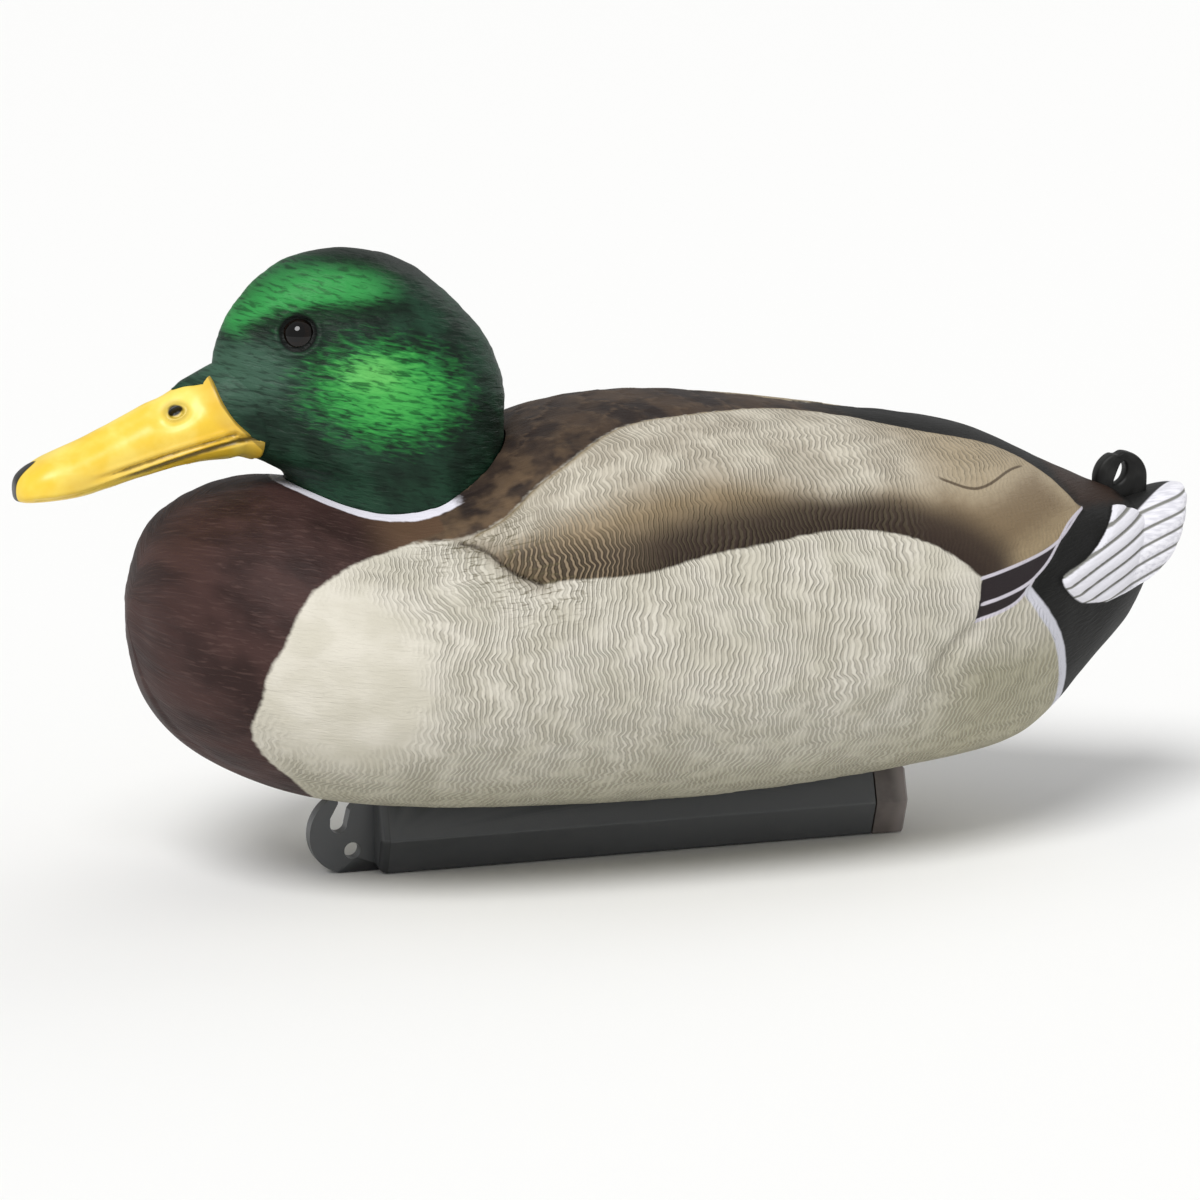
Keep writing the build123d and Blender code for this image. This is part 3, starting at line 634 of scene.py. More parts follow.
# Bristle marks are 7 mm long and 1.1 mm apart, drawn coarser than the real 0.3 mm so that they show.
brushed = add(tree, "Mapping", {"Vector": place, "Scale": (150.0, 900.0, 900.0), "Rotation": (0, -0.24, 0)})
bristle = add(tree, "TexNoise", {"Vector": brushed, "Scale": 1.0, "Detail": 3.0})
coat = sprayed(tree, "#d6d5dd", "#ecebf1", (bristle, 0.35, 0.6))
coat = sprayed(tree, coat, GROOVE_GREY, (off_feather_groove(tree), 0.05, 0.16, 0.9, 0.0))
coat = sprayed(tree, coat, RUMP_BLACK, ("crown", -0.5, 0.6))
coat = sprayed(tree, coat, RUMP_BLACK, ("underneath", 0.2, 0.6))
tree.links.new(coat, shader.inputs["Base Color"])
relief = add(tree, "Bump", {"Height": bristle, "Strength": 0.7, "Distance": 0.25 * MM})
tree.links.new(relief, shader.inputs["Normal"])
fan.data.materials.append(white_paint)
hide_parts("body_shell")
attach(fan, "hull")

# ---------------------------------------------------------------- tail curl
# A drake's curled tail feathers, moulded with the body as one upright tab: two curls that meet over a slanting
# eye. It is painted black with the rump.
CURL_CENTRE = (183.5, 118.0)
CURL_RADII = (9.6, 9.4)
CURL_HOLE_CENTRE = (182.6, 119.6)
CURL_HOLE_RADII = (1.7, 4.2)
CURL_LEAN = math.radians(24)
CURL_HALF_THICKNESS = 3.0
CURL_ROOT_Z = 104.5

angle = np.linspace(0, 2 * math.pi, 160, endpoint=False)
rim_x = CURL_CENTRE[0] + CURL_RADII[0] * np.cos(angle)
rim_z = CURL_CENTRE[1] + CURL_RADII[1] * np.sin(angle)
below = np.sin(angle) < 0
rim_x = np.where(below, CURL_CENTRE[0] + CURL_RADII[0] * signed_power(np.cos(angle), 0.35), rim_x)
root_z = CURL_CENTRE[1] + (CURL_CENTRE[1] - CURL_ROOT_Z) * signed_power(np.sin(angle), 0.6)
rim_z = np.where(below, root_z, rim_z)
notch = 0.9 * np.exp(-((angle - 1.75) / 0.16) ** 2)
rim_z = rim_z - notch
hole_u, hole_w = CURL_HOLE_RADII[0] * np.cos(angle), CURL_HOLE_RADII[1] * np.sin(angle)
bend = 0.9 * (hole_w / CURL_HOLE_RADII[1]) ** 2
hole_x = CURL_HOLE_CENTRE[0] + (hole_u - bend) * math.cos(CURL_LEAN) + hole_w * math.sin(CURL_LEAN) + 0.6
hole_z = CURL_HOLE_CENTRE[1] - (hole_u - bend) * math.sin(CURL_LEAN) + hole_w * math.cos(CURL_LEAN)
loops = []
for share, thick in [(0.0, 0.0), (0.0, 0.55), (0.03, 0.8), (0.10, 0.94), (0.25, 1.0), (0.42, 0.93), (0.5, 0.86),
                     (0.58, 0.93), (0.75, 1.0), (0.90, 0.92), (0.97, 0.78), (1.0, 0.5), (1.0, 0.0)]:
    loops.append((share, thick * CURL_HALF_THICKNESS))
loops += [(share, -thick) for share, thick in loops[-2:0:-1]]
curl_grid = np.array([np.column_stack([hole_x + (rim_x - hole_x) * share, np.full(160, thick),
                                       hole_z + (rim_z - hole_z) * share]) for share, thick in loops])
rows, columns = curl_grid.shape[:2]
index = np.arange(rows * columns).reshape(rows, columns)
after = np.roll(index, -1, axis=0)
faces = np.stack([index, np.roll(index, -1, axis=1), np.roll(after, -1, axis=1), after], axis=-1).reshape(-1, 4)
mesh = bpy.data.meshes.new("tail_curl")
mesh.from_pydata((curl_grid.reshape(-1, 3) * MM).tolist(), [], faces.tolist())
mesh.polygons.foreach_set("use_smooth", [True] * len(mesh.polygons))
curl = bpy.data.objects.new("tail_curl", mesh)
bpy.context.scene.collection.objects.link(curl)

# Sprayed black paint over the moulded polyethylene: a little glossier than the matt coats, dusty grey in
# patches.
black_paint, tree, shader = finish_named("sprayed_black_paint_on_moulded_polyethylene", 0.5,
                                         Specular_IOR_Level=0.25)
place = add(tree, "TexCoord", output="Object")
# Spray grain is 1.1 mm, drawn coarser than the real 0.3 mm so that it shows. Dust lies in 8 mm patches.
grain = add(tree, "TexNoise", {"Vector": place, "Scale": 900.0, "Detail": 3.0})
dust = add(tree, "TexNoise", {"Vector": place, "Scale": 120.0, "Detail": 2.0})
tree.links.new(sprayed(tree, "#141413", "#2b2b29", (dust, 0.4, 0.75)), shader.inputs["Base Color"])
relief = add(tree, "Bump", {"Height": grain, "Strength": 0.5, "Distance": 0.2 * MM})
tree.links.new(relief, shader.inputs["Normal"])
curl.data.materials.append(black_paint)
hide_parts("body_shell")
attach(curl, "hull")

# ---------------------------------------------------------------- neck grommet, drain plug, keel seal
# Black rubber: the ring that the head's post turns in, the push-in plug under the belly and the O-ring on the
# cap's spigot. All three come from the mould with a fine dull skin.
rubber, tree, shader = finish_named("moulded_black_nitrile_rubber", 0.7, 1.52)
place = add(tree, "TexCoord", output="Object")
# The bloom lies in 4 mm patches over a moulded skin of 0.3 mm grain.
bloom = add(tree, "TexNoise", {"Vector": place, "Scale": 250.0, "Detail": 3.0})
grain = add(tree, "TexNoise", {"Vector": place, "Scale": 3000.0, "Detail": 1.0})
tree.links.new(sprayed(tree, "#161615", "#2c2c2b", (bloom, 0.4, 0.7)), shader.inputs["Base Color"])
relief = add(tree, "Bump", {"Height": grain, "Strength": 0.4, "Distance": 0.05 * MM})
tree.links.new(relief, shader.inputs["Normal"])


def refinish(node, material):
    """Gives a CAD node that stays as it is its real finish."""
    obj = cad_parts[node]
    obj.data.materials.clear()
    obj.data.materials.append(material)


for node in ("neck_grommet", "drain_plug", "cap_seal"):
    refinish(node, rubber)

# ---------------------------------------------------------------- keel
# A long six-sided box moulded in dark polypropylene, filled with sand and screwed up into the belly from
# below. A flat hook with a line eye stands at its front. The plastic is fine-grained, and its edges are painted
# paler as a painted highlight.
keel_plastic, tree, shader = finish_named("moulded_charcoal_polypropylene", 0.42, 1.49)
place = add(tree, "TexCoord", output="Object")
# The grey clouds every 22 mm over a grain of 0.7 mm, drawn coarser than the mould's real 0.2 mm.
cloud = add(tree, "TexNoise", {"Vector": place, "Scale": 45.0, "Detail": 4.0})
grain = add(tree, "TexNoise", {"Vector": place, "Scale": 1400.0, "Detail": 2.0})
painted_edge_highlight = add(tree, "NewGeometry", output="Pointiness")
coat = sprayed(tree, "#1c1d1f", "#2a2c2e", (cloud, 0.4, 0.66))
# Painted highlight: the convex edges are painted paler.
coat = sprayed(tree, coat, "#5b5d5f", (painted_edge_highlight, 0.505, 0.58), 0.75)
tree.links.new(coat, shader.inputs["Base Color"])
dullness = add(tree, "Math", {0: cloud, 1: 0.22, 2: 0.32}, operation="MULTIPLY_ADD")
tree.links.new(dullness, shader.inputs["Roughness"])
height = add(tree, "Math", {0: grain, 1: 0.5}, operation="MULTIPLY")
height = add(tree, "Math", {0: cloud, 1: 0.8, 2: height}, operation="MULTIPLY_ADD")
relief = add(tree, "Bump", {"Height": height, "Strength": 0.5, "Distance": 0.2 * MM})
tree.links.new(relief, shader.inputs["Normal"])
refinish("keel_shell", keel_plastic)

# ---------------------------------------------------------------- keel ballast, screws and washers
# Packed sand gives the keel its weight. Two pan-head screws of stainless steel, each on a washer, pull the keel
# against the belly. The head's post has one more of each.
sand, tree, shader = finish_named("packed_damp_sand", 0.95, 1.54)
place = add(tree, "TexCoord", output="Object")
# Grains are 0.6 mm, drawn coarser than the real 0.3 mm so that they show.
GRAIN = 0.6
grain_colour = add(tree, "TexVoronoi", {"Vector": place, "Scale": 1 / (GRAIN * MM)}, output="Color")
grain_dome = add(tree, "TexVoronoi", {"Vector": place, "Scale": 1 / (GRAIN * MM)}, output="Distance")
tone = add(tree, "SeparateXYZ", {0: grain_colour})
tree.links.new(sprayed(tree, "#8d7a5c", "#cdbb96", tone), shader.inputs["Base Color"])
relief = add(tree, "Bump", {"Height": grain_dome, "Strength": 0.8, "Distance": GRAIN / 2 * MM})
tree.links.new(relief, shader.inputs["Normal"])
refinish("keel_ballast", sand)

# Turned steel: bright, with fine rings that the tool left across the axis.
steel, tree, shader = finish_named("turned_stainless_steel", 0.3, Metallic=1.0)
place = add(tree, "TexCoord", output="Object")
# The tool's rings are 0.17 mm apart.
squeezed = add(tree, "Mapping", {"Vector": place, "Scale": (300.0, 300.0, 6000.0)})
turning = add(tree, "TexNoise", {"Vector": squeezed, "Scale": 1.0, "Detail": 2.0})
tree.links.new(sprayed(tree, "#8f9193", "#c3c5c7", (turning, 0.35, 0.65)), shader.inputs["Base Color"])
dullness = add(tree, "Math", {0: turning, 1: 0.2, 2: 0.2}, operation="MULTIPLY_ADD")
tree.links.new(dullness, shader.inputs["Roughness"])
for node in ("keel_screws", "keel_screw_washers", "post_washer", "post_screw"):
    refinish(node, steel)

# ---------------------------------------------------------------- keel cap
# The cap that closes the keel's tail, in a paler grey mix of the same plastic. It pulls straight out on its
# round spigot.
cap_plastic, tree, shader = finish_named("moulded_grey_polypropylene", 0.4, 1.49)
place = add(tree, "TexCoord", output="Object")
# The grey clouds every 14 mm over the same 0.7 mm grain as the keel's.
cloud = add(tree, "TexNoise", {"Vector": place, "Scale": 70.0, "Detail": 4.0})
grain = add(tree, "TexNoise", {"Vector": place, "Scale": 1400.0, "Detail": 2.0})
painted_edge_highlight = add(tree, "NewGeometry", output="Pointiness")
coat = sprayed(tree, "#58524f", "#736b68", (cloud, 0.38, 0.66))
# Painted highlight: the cap's convex edges are painted paler.
coat = sprayed(tree, coat, "#918986", (painted_edge_highlight, 0.51, 0.60), 0.8)
tree.links.new(coat, shader.inputs["Base Color"])
relief = add(tree, "Bump", {"Height": grain, "Strength": 0.4, "Distance": 0.1 * MM})
tree.links.new(relief, shader.inputs["Normal"])
refinish("keel_cap", cap_plastic)

# ---------------------------------------------------------------- head
# The head is its own hollow moulding on a round neck that drops into the socket. Short feather strokes are
# moulded into it, with a brow over a sunken eye. It is painted dark green; the brighter green on the brow and
# the cheek is painted sheen, with a painted highlight on the cheek, and the crown is darkened as painted shade.
HEAD_LEVELS = [
    (131.0, -113, -41, 36, -77, 2.0),
    (135.5, -114.5, -41, 36, -77, 2.0),
    (140.0, -122, -41, 35.7, -76.5, 1.92),
    (145.0, -130.5, -41, 35.2, -75.5, 1.82),
    (151.0, -135.5, -41, 34.4, -74.5, 1.78),
    (160.0, -137.5, -40.8, 33, -73, 1.75),
    (169.0, -138, -42.5, 31, -73, 1.75),
    (178.0, -136.5, -46.5, 28.4, -75, 1.8),
    (188.0, -132, -54.5, 24.8, -80, 1.85),
    (197.0, -125, -64, 20, -86, 1.9),
    (203.5, -116.5, -73.5, 14.5, -91, 1.95),
    (207.0, -108, -83, 9, -94, 2.0),
    (208.6, -98, -92, 2.5, -95, 2.0),
]
HEAD_FLOOR_Z = 104.6
HEAD_ROWS, HEAD_COLUMNS = 190, 320
BROW = [(-131, 187), (-117, 198), (-103, 201), (-77, 198), (-92, 195), (-106, 193), (-123, 190)]
EYE_STRIPE = [(-126, 184), (-118, 187), (-108, 189), (-95, 190), (-79, 191)]
EYE_CENTRE = np.array([-112.0, 14.6, 182.5])
EYE_FACING = np.array([-0.5, 0.8, 0.33]) / np.linalg.norm([-0.5, 0.8, 0.33])
EYE_RADIUS = 6.2
EYE_BACK = 2.2
EYE_GROOVE_RADIUS, EYELID_RADIUS = 7.0, 8.6
NECK_ROWS = 26
CROWN_ROWS = 26


def from_eye(x, y, z):
    """The distance from each point to the middle of the eye on its side."""
    return np.sqrt((x - EYE_CENTRE[0]) ** 2 + (np.abs(y) - EYE_CENTRE[1]) ** 2 + (z - EYE_CENTRE[2]) ** 2)


def along_strands(x, z):
    """The place of a point along and across the strokes, which sweep back and down from the bill."""
    return np.column_stack([x + 0.25 * (z - 165), z + 0.18 * (x + 90)])


levels = np.array(HEAD_LEVELS)
measure = np.column_stack([levels[:, 0], levels[:, 3], (levels[:, 2] - levels[:, 1]) / 2])
upper = smooth_run(levels, HEAD_ROWS, measure)
neck = np.repeat(levels[:1], NECK_ROWS, axis=0)
neck[:, 0] = np.linspace(HEAD_FLOOR_Z, 130.2, NECK_ROWS)
edge_row = neck[:1] + [0, 0.7, -0.7, -0.7, 0, 0]
neck[0, 0] += 0.7
tip_row = levels[-1:] + [0, 2.2, -2.2, -1.8, 0, 0]
head_rows = np.concatenate([edge_row, neck, upper, tip_row])
z, front, back, half, widest, roundness = head_rows.T[:, :, None]
angle = np.linspace(0, 2 * math.pi, HEAD_COLUMNS, endpoint=False)[None, :]
facing = np.cos(angle) < 0
power = np.where(facing, 2 / roundness, 1.0)
reach = np.where(facing, widest - front, back - widest)
head_grid = np.stack([widest + reach * signed_power(np.cos(angle), power),
                      half * signed_power(np.sin(angle), power), z + 0 * angle], axis=-1)
x, y, z = head_grid.reshape(-1, 3).T
side = np.column_stack([x, z])
stripe = away_from(softened(EYE_STRIPE), side)
brow_line = away_from(softened([(-130, 188), (-118, 194), (-104, 196), (-88, 197)]), side)
cheek = 1 - np.hypot((x + 86) / 30, (z - 165) / 20)
sideways = ease(np.abs(y) / 12)
lift = 0.9 * np.exp(-(brow_line / 5) ** 2) * sideways
lift -= 0.9 * np.exp(-(stripe / 4.5) ** 2) * sideways
lift += 0.8 * ease(cheek / 0.8) * sideways
lift -= 0.9 * np.exp(-((from_eye(x, y, z) - EYE_GROOVE_RADIUS) / 1.0) ** 2)
lift += 0.5 * np.exp(-((from_eye(x, y, z) - EYELID_RADIUS) / 0.8) ** 2)
strand = along_strands(x, z)
lift += 0.20 * hills(strand, (6, 1.9), 11) + 0.10 * hills(strand, (3.2, 1.3), 12) + 0.25 * hills(strand, 13, 13)
lift = lift * ease((z - 134) / 6)
lift[z < 137] = np.minimum(lift[z < 137], 0)
lift = lift.reshape(head_grid.shape[:2])
lift[-10:] *= np.linspace(0.9, 0, 10)[:, None]
lift[-CROWN_ROWS:] = np.minimum(lift[-CROWN_ROWS:], -0.15)
head = closed_mesh("painted_head", head_grid + outward(head_grid) * lift[:, :, None])
head.data.set_sharp_from_angle(angle=math.radians(50))


def note_face(obj):
    """Writes where the head's paint goes."""
    x, y, z = points_of(obj).T
    side = np.column_stack([x, z])
    note(obj, "brow", inside(softened(BROW + BROW[:1]), side) + 4)
    note(obj, "cheek", 1 - np.hypot((x + 87) / 31, (z - 165 + 0.06 * (x + 90)) / 20))
    note(obj, "shine", 1 - np.hypot((x + 92) / 15, (z - 171) / 8))
    note(obj, "stripe", away_from(softened(EYE_STRIPE), side))
    note(obj, "lores", 1 - np.hypot((x + 130) / 21, (z - 171) / 16))
    note(obj, "eye", from_eye(x, y, z))
    note(obj, "skin", np.column_stack([along_strands(x, z), 0.35 * y]))


note_face(head)

# Green paint with a little pearl in it: satin. The brighter green over the brow and the cheek is a painted
# sheen, with a painted highlight in the cheek's middle.
green_paint, tree, shader = finish_named("sprayed_pearl_green_paint_on_moulded_polyethylene", 0.45,
                                         Specular_IOR_Level=0.15)
skin_place = add(tree, "Attribute", output="Vector", attribute_name="skin")
along = add(tree, "SeparateXYZ", {0: skin_place}, output="X")
above = add(tree, "SeparateXYZ", {0: skin_place}, output="Y")
# Coats end raggedly every 3 mm, clouds are 12 mm, and the moulded strokes are 4.5 mm long and 1.15 mm wide.
ragged = add(tree, "TexNoise", {"Vector": skin_place, "Scale": 0.35, "Detail": 3.0})
cloudy = add(tree, "TexNoise", {"Vector": skin_place, "Scale": 0.08, "Detail": 3.0})
stretched = add(tree, "Mapping", {"Vector": skin_place, "Scale": (1 / 4.5, 1 / 1.15, 1 / 3)})
strokes = add(tree, "TexNoise", {"Vector": stretched, "Scale": 1.0, "Detail": 3.5, "Distortion": 0.5})
streak = add(tree, "Math", {0: strokes, 1: 0.5}, operation="SUBTRACT")
coat = sprayed(tree, "#16281e", "#22402f", (cloudy, 0.35, 0.65))
coat = sprayed(tree, coat, "#41604f", (ragged_note(tree, "lores", streak, 0.6), 0.0, 0.8, 0.0, 0.85))
# Painted sheen: brighter green on the cheek and the brow, and a painted highlight, the palest green, in the
# cheek's middle.
coat = sprayed(tree, coat, "#2b8a3e", (ragged_note(tree, "cheek", streak, 1.1), -0.05, 0.7))
coat = sprayed(tree, coat, "#45a74e", (ragged_note(tree, "cheek", streak, 1.5), 0.3, 1.0))
coat = sprayed(tree, coat, "#6cc064", (ragged_note(tree, "shine", streak, 1.6), 0.0, 1.1), 0.75)
coat = sprayed(tree, coat, "#35944a", (ragged_note(tree, "brow", streak, 6.0), -4.0, 6.5),
               (along, -66.0, -88.0), 0.95)
# Painted shade: the crown darkens towards its top.
crown_from = add(tree, "Math", {0: streak, 1: 4.0, 2: above}, operation="MULTIPLY_ADD")
coat = sprayed(tree, coat, "#0e1712", (crown_from, 200.0, 207.0, 0.0, 0.85))
coat = sprayed(tree, coat, "#0f1d15", (ragged_note(tree, "stripe", streak, 6.0), 0.5, 6.0, 1.0, 0.0), 0.85)
coat = sprayed(tree, coat, "#0d1611", (strokes, 0.50, 0.36), 0.42)
coat = sprayed(tree, coat, "#060807", ("eye", 7.2, 8.2, 0.95, 0.0))
tree.links.new(coat, shader.inputs["Base Color"])
height = add(tree, "Math", {0: ragged, 1: 0.25, 2: strokes}, operation="MULTIPLY_ADD")
relief = add(tree, "Bump", {"Height": height, "Strength": 1.0, "Distance": PAINT_RELIEF * MM})
tree.links.new(relief, shader.inputs["Normal"])
head.data.materials.append(green_paint)
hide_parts("head_shell")
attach(head, "head")

# ---------------------------------------------------------------- bill
# The bill is a separate yellow moulding let into the face behind a raised rim. It has the groove between its
# two halves, nostrils and a dark nail at its tip. Thin brown wash stays in its grooves.
BILL_STATIONS = [
    (-203.55, 134.5, 134.4, 0.4, 134.45),
    (-203.4, 137, 132, 3.2, 134.5),
    (-201.0, 140.5, 130.5, 8.2, 134.5),
    (-195.0, 144.5, 130.5, 11.8, 135),
    (-184.0, 149, 131.5, 12.8, 136.5),
    (-170.0, 155.5, 134.5, 12.2, 140),
    (-156.0, 162.5, 138, 12.4, 144.5),
    (-144.0, 168.5, 140.5, 14.2, 148),
    (-132.0, 174, 141.5, 17, 150),
    (-125.0, 175, 141.5, 18.5, 151),
]
BILL_ROUNDNESS = 2.3
BILL_REAR_AXIS = (-116.0, 171.0)
BILL_REAR_RADIUS = 24.0
BILL_ROWS, BILL_COLUMNS = 230, 260
LIP_GROOVE = [(-186, 137.2), (-178, 139), (-162, 143.4), (-145, 148.3), (-134, 151.6)]
LIP_GAP = [(-198, 132.0), (-184, 134.2), (-172, 138.0), (-162, 140.9), (-145, 145.9), (-133, 149.3),
           (-127, 150.6)]
NOSTRIL = (-152.0, 159.0)
NOSTRIL_HALVES = (2.5, 1.6)
NOSTRIL_TILT = math.radians(24)
NAIL_X, NAIL_HALVES = -205.0, (9.5, 4.0)

stations = np.array(BILL_STATIONS)
fine = smooth_run(stations, 400,
                  np.column_stack([stations[:, 0], stations[:, 3], (stations[:, 1] - stations[:, 2]) / 2]))
angle = np.linspace(0, 2 * math.pi, BILL_COLUMNS, endpoint=False)
power = 2 / BILL_ROUNDNESS


def bill_section(x):
    """The bill's outline at x, for each column."""
    top, bottom, half, wide = (np.interp(x, fine[:, 0], fine[:, i]) for i in range(1, 5))
    rise = np.where(np.sin(angle) > 0, top - wide, wide - bottom)
    return half * signed_power(np.cos(angle), power), wide + rise * signed_power(np.sin(angle), power)


def from_nostril(x, z):
    """How far a point on the bill's side lies from the nostril's middle: 1 at its edge."""
    along, up = x - NOSTRIL[0], z - NOSTRIL[1]
    run = along * math.cos(NOSTRIL_TILT) + up * math.sin(NOSTRIL_TILT)
    climb = up * math.cos(NOSTRIL_TILT) - along * math.sin(NOSTRIL_TILT)
    return np.hypot(run / NOSTRIL_HALVES[0], climb / NOSTRIL_HALVES[1])


rear_x = np.full(BILL_COLUMNS, -134.0)
for _ in range(30):
    _, rear_z = bill_section(rear_x)
    reach = np.sqrt(np.maximum(BILL_REAR_RADIUS ** 2 - (rear_z - BILL_REAR_AXIS[1]) ** 2, 81.0))
    rear_x = 0.5 * rear_x + 0.5 * np.minimum(BILL_REAR_AXIS[0] - reach, -125.0)
tip_x = BILL_STATIONS[0][0]
spread = np.interp(np.linspace(0, 1, BILL_ROWS), np.linspace(0, 1, len(fine)),
                   (fine[:, 0] - tip_x) / (fine[-1, 0] - tip_x))
bill_rows = []
for share in spread:
    x = tip_x + (rear_x - tip_x) * share
    y, z = bill_section(x)
    bill_rows.append(np.column_stack([x, y, z]))
bill_grid = np.array(bill_rows)
x, y, z = bill_grid.reshape(-1, 3).T
side = np.column_stack([x, z])
from_rear = (np.tile(rear_x, BILL_ROWS) - x)
groove = away_from(softened(LIP_GROOVE), side)
gap = away_from(softened(LIP_GAP), side)
sideways = ease(np.abs(y) / 4) * ease((x + 203) / 3)
nostril = from_nostril(x, z)
off_ridge = 1 - np.exp(-(y / 7.0) ** 4) * (z > 160)
lift = -0.25 + 0.75 * np.exp(-(from_rear / 2.2) ** 2) * off_ridge
lift -= 0.5 * np.exp(-((from_rear - 5.0) / 2.0) ** 2)
fading = ease((x + 184) / 14)
lift -= 0.6 * np.exp(-(groove / 0.7) ** 2) * sideways * fading
lift += 0.4 * np.exp(-((groove - 1.6) / 0.8) ** 2) * sideways * fading
deep = (0.25 + 0.5 * ease((x + 180) / 12)) + 0.9 * ease((x + 170) / 40)
lift -= deep * np.exp(-(gap / (0.6 + 0.5 * ease((x + 160) / 30))) ** 2) * sideways
lift -= 0.5 * sideways * ease((np.interp(x, *np.array(LIP_GAP).T) - z) / 1.5) * ease((x + 185) / 20)
lift -= 1.9 * ease((1.1 - nostril) / 0.5)
lift -= 0.7 * np.exp(-((nostril - 2.3) / 1.0) ** 2) * (x > -170)
lift += 0.35 * np.exp(-((nostril - 1.35) / 0.3) ** 2)
lift += 0.35 * np.exp(-(y / 3.5) ** 2) * (z > 140) * ease((x + 196) / 14)
lift -= 0.8 * np.exp(-((np.abs(y) - 7.2) / 3.0) ** 2) * (z > 141) * ease((x + 196) / 12) * ease((-140 - x) / 12)
nail = np.hypot((x - NAIL_X) / NAIL_HALVES[0], y / NAIL_HALVES[1])
lift += 0.35 * ease((1 - nail) / 0.15) * (z > 134)
ripple_place = np.column_stack([x, z + np.abs(y)])
lift += 0.08 * hills(ripple_place, 4, 21) + 0.18 * hills(ripple_place, 11, 22)
lift = lift * ease((x + 203.8) / 2.0)
lift = lift.reshape(BILL_ROWS, BILL_COLUMNS)
shaped = bill_grid + outward(bill_grid) * lift[:, :, None]
# The rim rolls over into the face: four closing rows, each smaller and further back.
centre = np.array([-120.0, 0.0, 160.0])
closing = [shaped[-1] + (centre - shaped[-1]) * share for share in (0.012, 0.04, 0.10, 0.25)]
bill_grid = np.concatenate([shaped, np.array(closing)])
bill = closed_mesh("painted_bill", bill_grid)
bill.data.set_sharp_from_angle(angle=math.radians(60))
x, y, z = points_of(bill).T
side = np.column_stack([x, z])
note(bill, "groove", away_from(softened(LIP_GROOVE), side) + 1.2 * ease((-168 - x) / 14))
note(bill, "gap", away_from(softened(LIP_GAP), side) + 0.9 * ease((-160 - x) / 16))
note(bill, "nostril", from_nostril(x, z))
note(bill, "nail", 1 - np.hypot((x - NAIL_X) / NAIL_HALVES[0], y / NAIL_HALVES[1]))
inner = np.interp(z, [140, 146, 150, 155, 161, 167, 175], [-125, -125, -129, -134, -138, -140, -141])
note(bill, "rear", inner - x)

# Yellow paint with an olive wash rubbed into the grooves: satin and smooth.
yellow_paint, tree, shader = finish_named("sprayed_satin_yellow_paint_on_moulded_polyethylene", 0.38)
place = add(tree, "TexCoord", output="Object")
# The yellow clouds every 17 mm, and the wash ends raggedly every 2.4 mm.
cloudy = add(tree, "TexNoise", {"Vector": place, "Scale": 60.0, "Detail": 4.0})
ragged = add(tree, "TexNoise", {"Vector": place, "Scale": 420.0, "Detail": 3.0})
centred = add(tree, "Math", {0: ragged, 1: 0.5}, operation="SUBTRACT")
coat = sprayed(tree, "#efc83a", "#f7de6a", (cloudy, 0.35, 0.62))
coat = sprayed(tree, coat, "#d9a52a", ("groove", 0.0, 8.0, 0.45, 0.0))
coat = sprayed(tree, coat, "#d8a62c", ("rear", 0.0, 9.0, 0.55, 0.0))
coat = sprayed(tree, coat, "#8a6f1f", (ragged_note(tree, "groove", centred, 0.8), 0.1, 0.8, 0.85, 0.0))
coat = sprayed(tree, coat, "#5a4a19", (ragged_note(tree, "gap", centred, 0.8), 0.2, 1.3, 0.9, 0.0))
coat = sprayed(tree, coat, "#a58a2c", ("nostril", 1.1, 2.2, 0.5, 0.0))
coat = sprayed(tree, coat, "#0d0c0a", ("nostril", 0.85, 1.15, 1.0, 0.0))
coat = sprayed(tree, coat, "#15120f", ("nail", 0.02, 0.12))
coat = sprayed(tree, coat, "#6b5a1e", ("rear", 0.1, 0.7, 0.6, 0.0))
tree.links.new(coat, shader.inputs["Base Color"])
dullness = add(tree, "Math", {0: cloudy, 1: 0.2, 2: 0.28}, operation="MULTIPLY_ADD")
tree.links.new(dullness, shader.inputs["Roughness"])
relief = add(tree, "Bump", {"Height": ragged, "Strength": 0.35, "Distance": 0.12 * MM})
tree.links.new(relief, shader.inputs["Normal"])
bill.data.materials.append(yellow_paint)
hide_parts("bill")
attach(bill, "head")

# ---------------------------------------------------------------- face feathers
# The face feathers run up to the bill's rim all round and in a short point over its ridge. They are a low
# raised part of the head's moulding, in the same green paint.
WEDGE_LENGTH = 11.0
_, rear_z = bill_section(rear_x)
over_ridge = np.exp(-(bill_section(rear_x)[0] / 6.0) ** 2) * (rear_z > 160)
face_rows = []
for share in np.linspace(0, 1, 40):
    start = rear_x - 0.4 - WEDGE_LENGTH * over_ridge
    x = start + (-114.0 - start) * share
    y, z = bill_section(np.minimum(x, -125.0))
    swell = 0.95 * over_ridge * ease(share / 0.08) - 0.4 * (1 - over_ridge) - 2.2 * share ** 2
    flat = np.hypot(y, z - 158) + 1e-9
    face_rows.append(np.column_stack([x, y * (1 + swell / flat), z + (z - 158) * swell / flat]))
face = closed_mesh("face_feathers", np.array(face_rows))
note_face(face)
face.data.materials.append(green_paint)
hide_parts("head_shell")
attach(face, "head")

# ---------------------------------------------------------------- eyes
# Domed glass-clear acrylic eyes, dark brown with a black pupil painted on the back, pressed into the head. The
# clear dome gives a small sharp highlight.
glass, tree, shader = finish_named("polished_acrylic_eye", 0.04, 1.49, Specular_IOR_Level=0.35)
place = add(tree, "TexCoord", output="Object")
# Flecks in the brown are 1.1 mm.
fleck = add(tree, "TexNoise", {"Vector": place, "Scale": 900.0, "Detail": 2.0})
coat = sprayed(tree, "#0b0604", "#140b07", (fleck, 0.4, 0.65))
coat = sprayed(tree, coat, "#050404", ("from_axis", 3.1, 3.4, 1.0, 0.0))
coat = sprayed(tree, coat, "#070504", ("from_axis", 4.4, 5.0))
tree.links.new(coat, shader.inputs["Base Color"])

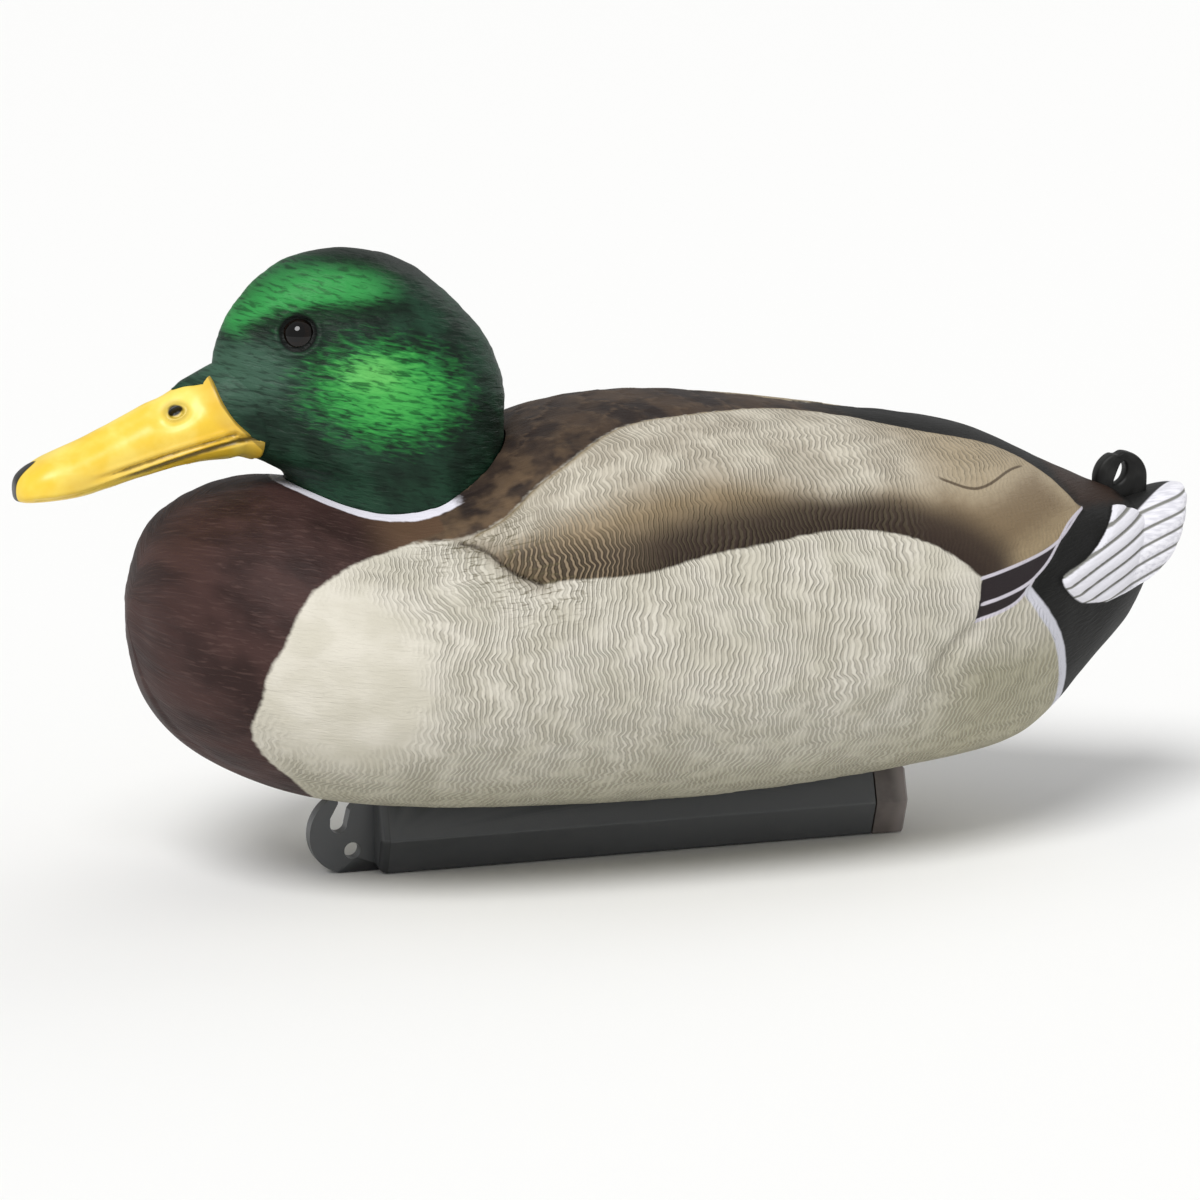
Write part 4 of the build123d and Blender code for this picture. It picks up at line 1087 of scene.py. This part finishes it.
for name, side_sign in (("left", -1), ("right", 1)):
    mirror = np.array([1, side_sign, 1])
    axis, centre = EYE_FACING * mirror, EYE_CENTRE * mirror
    level = np.cross(axis, [0, 0, 1])
    level /= np.linalg.norm(level)
    upward = np.cross(level, axis)
    rim = math.acos(EYE_BACK / EYE_RADIUS)
    profile = [(0.02, EYE_BACK), (3.0, EYE_BACK), (EYE_RADIUS * math.sin(rim) - 0.3, EYE_BACK)]
    profile += [(EYE_RADIUS * math.sin(rim * share) - 0.02, EYE_RADIUS * math.cos(rim * share) - 0.02)
                for share in np.linspace(0.97, 0.01, 26)]
    angle = np.linspace(0, 2 * math.pi, 64, endpoint=False)
    radius, depth = np.array(profile).T[:, :, None, None]
    spoke = np.cos(angle)[:, None] * level + np.sin(angle)[:, None] * upward
    eye_grid = centre + axis * depth + spoke * radius
    if np.dot(np.cross(level, upward), axis) < 0:
        eye_grid = eye_grid[:, ::-1]
    eye = closed_mesh(f"glass_eye_{name}", eye_grid)
    offset = points_of(eye) - centre
    note(eye, "from_axis", np.linalg.norm(offset - np.outer(offset @ axis, axis), axis=1))
    eye.data.materials.append(glass)
    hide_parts(f"eye_{name}")
    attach(eye, "head")

# ---------------------------------------------------------------- neck post
# A split nylon post under the head: its barbs snap through the grommet and let the head turn. It is moulded
# in natural off-white.
nylon, tree, shader = finish_named("moulded_natural_nylon", 0.4, 1.53, Subsurface_Weight=0.1)
place = add(tree, "TexCoord", output="Object")
# The off-white clouds every 5 mm.
cloud = add(tree, "TexNoise", {"Vector": place, "Scale": 200.0, "Detail": 3.0})
tree.links.new(sprayed(tree, "#d9d3c0", "#ebe6d6", (cloud, 0.4, 0.6)), shader.inputs["Base Color"])
relief = add(tree, "Bump", {"Height": cloud, "Strength": 0.3, "Distance": 0.05 * MM})
tree.links.new(relief, shader.inputs["Normal"])
refinish("neck_post", nylon)

# ---------------------------------------------------------------- studio
# A wide pale paper floor, two broad soft lights and a bright surround, with the camera a little above the duck
# and ahead of its left side.
mesh = bpy.data.meshes.new("paper_floor")
mesh.from_pydata([(-6, -6, -0.0003), (6, -6, -0.0003), (6, 6, -0.0003), (-6, 6, -0.0003)], [], [(0, 1, 2, 3)])
floor = bpy.data.objects.new("paper_floor", mesh)
bpy.context.scene.collection.objects.link(floor)
paper, tree, shader = finish_named("matt_white_paper", 0.9)
shader.inputs["Base Color"].default_value = tint("#f4f4f3")
mesh.materials.append(paper)

world = bpy.data.worlds.new("studio")
bpy.context.scene.world = world
world.use_nodes = True
world.node_tree.nodes["Background"].inputs["Color"].default_value = (1, 1, 1, 1)
world.node_tree.nodes["Background"].inputs["Strength"].default_value = 0.48

TARGET = Vector((-0.006, 0, 0.100))
AZIMUTH, ELEVATION = math.radians(-18), math.radians(11.5)
DISTANCE = 1.5
LIGHTS = (("key", (-0.50, -0.62, 0.95), 28, 2.3), ("rim", (0.7, 0.5, 0.6), 40, 0.35))
for name, toward, width, strength in LIGHTS:
    light = bpy.data.lights.new(name, "SUN")
    light.angle, light.energy = math.radians(width), strength
    lamp = bpy.data.objects.new(name, light)
    lamp.location = Vector(toward) * 2
    lamp.rotation_euler = Vector(toward).to_track_quat("Z", "Y").to_euler()
    bpy.context.scene.collection.objects.link(lamp)

level = math.cos(ELEVATION)
back = Vector((math.sin(AZIMUTH) * level, -math.cos(AZIMUTH) * level, math.sin(ELEVATION)))
up = Vector((0, 0, 1)) - back * back.z
camera = bpy.data.objects.new("camera", bpy.data.cameras.new("camera"))
camera.data.lens, camera.data.sensor_width = 134.3, 36
aim = TARGET - up.normalized() * 0.0134
camera.location = aim + back * DISTANCE
camera.rotation_euler = (-back).to_track_quat("-Z", "Y").to_euler()
bpy.context.scene.collection.objects.link(camera)
bpy.context.scene.camera = camera
bpy.context.scene.view_settings.view_transform = "Standard"
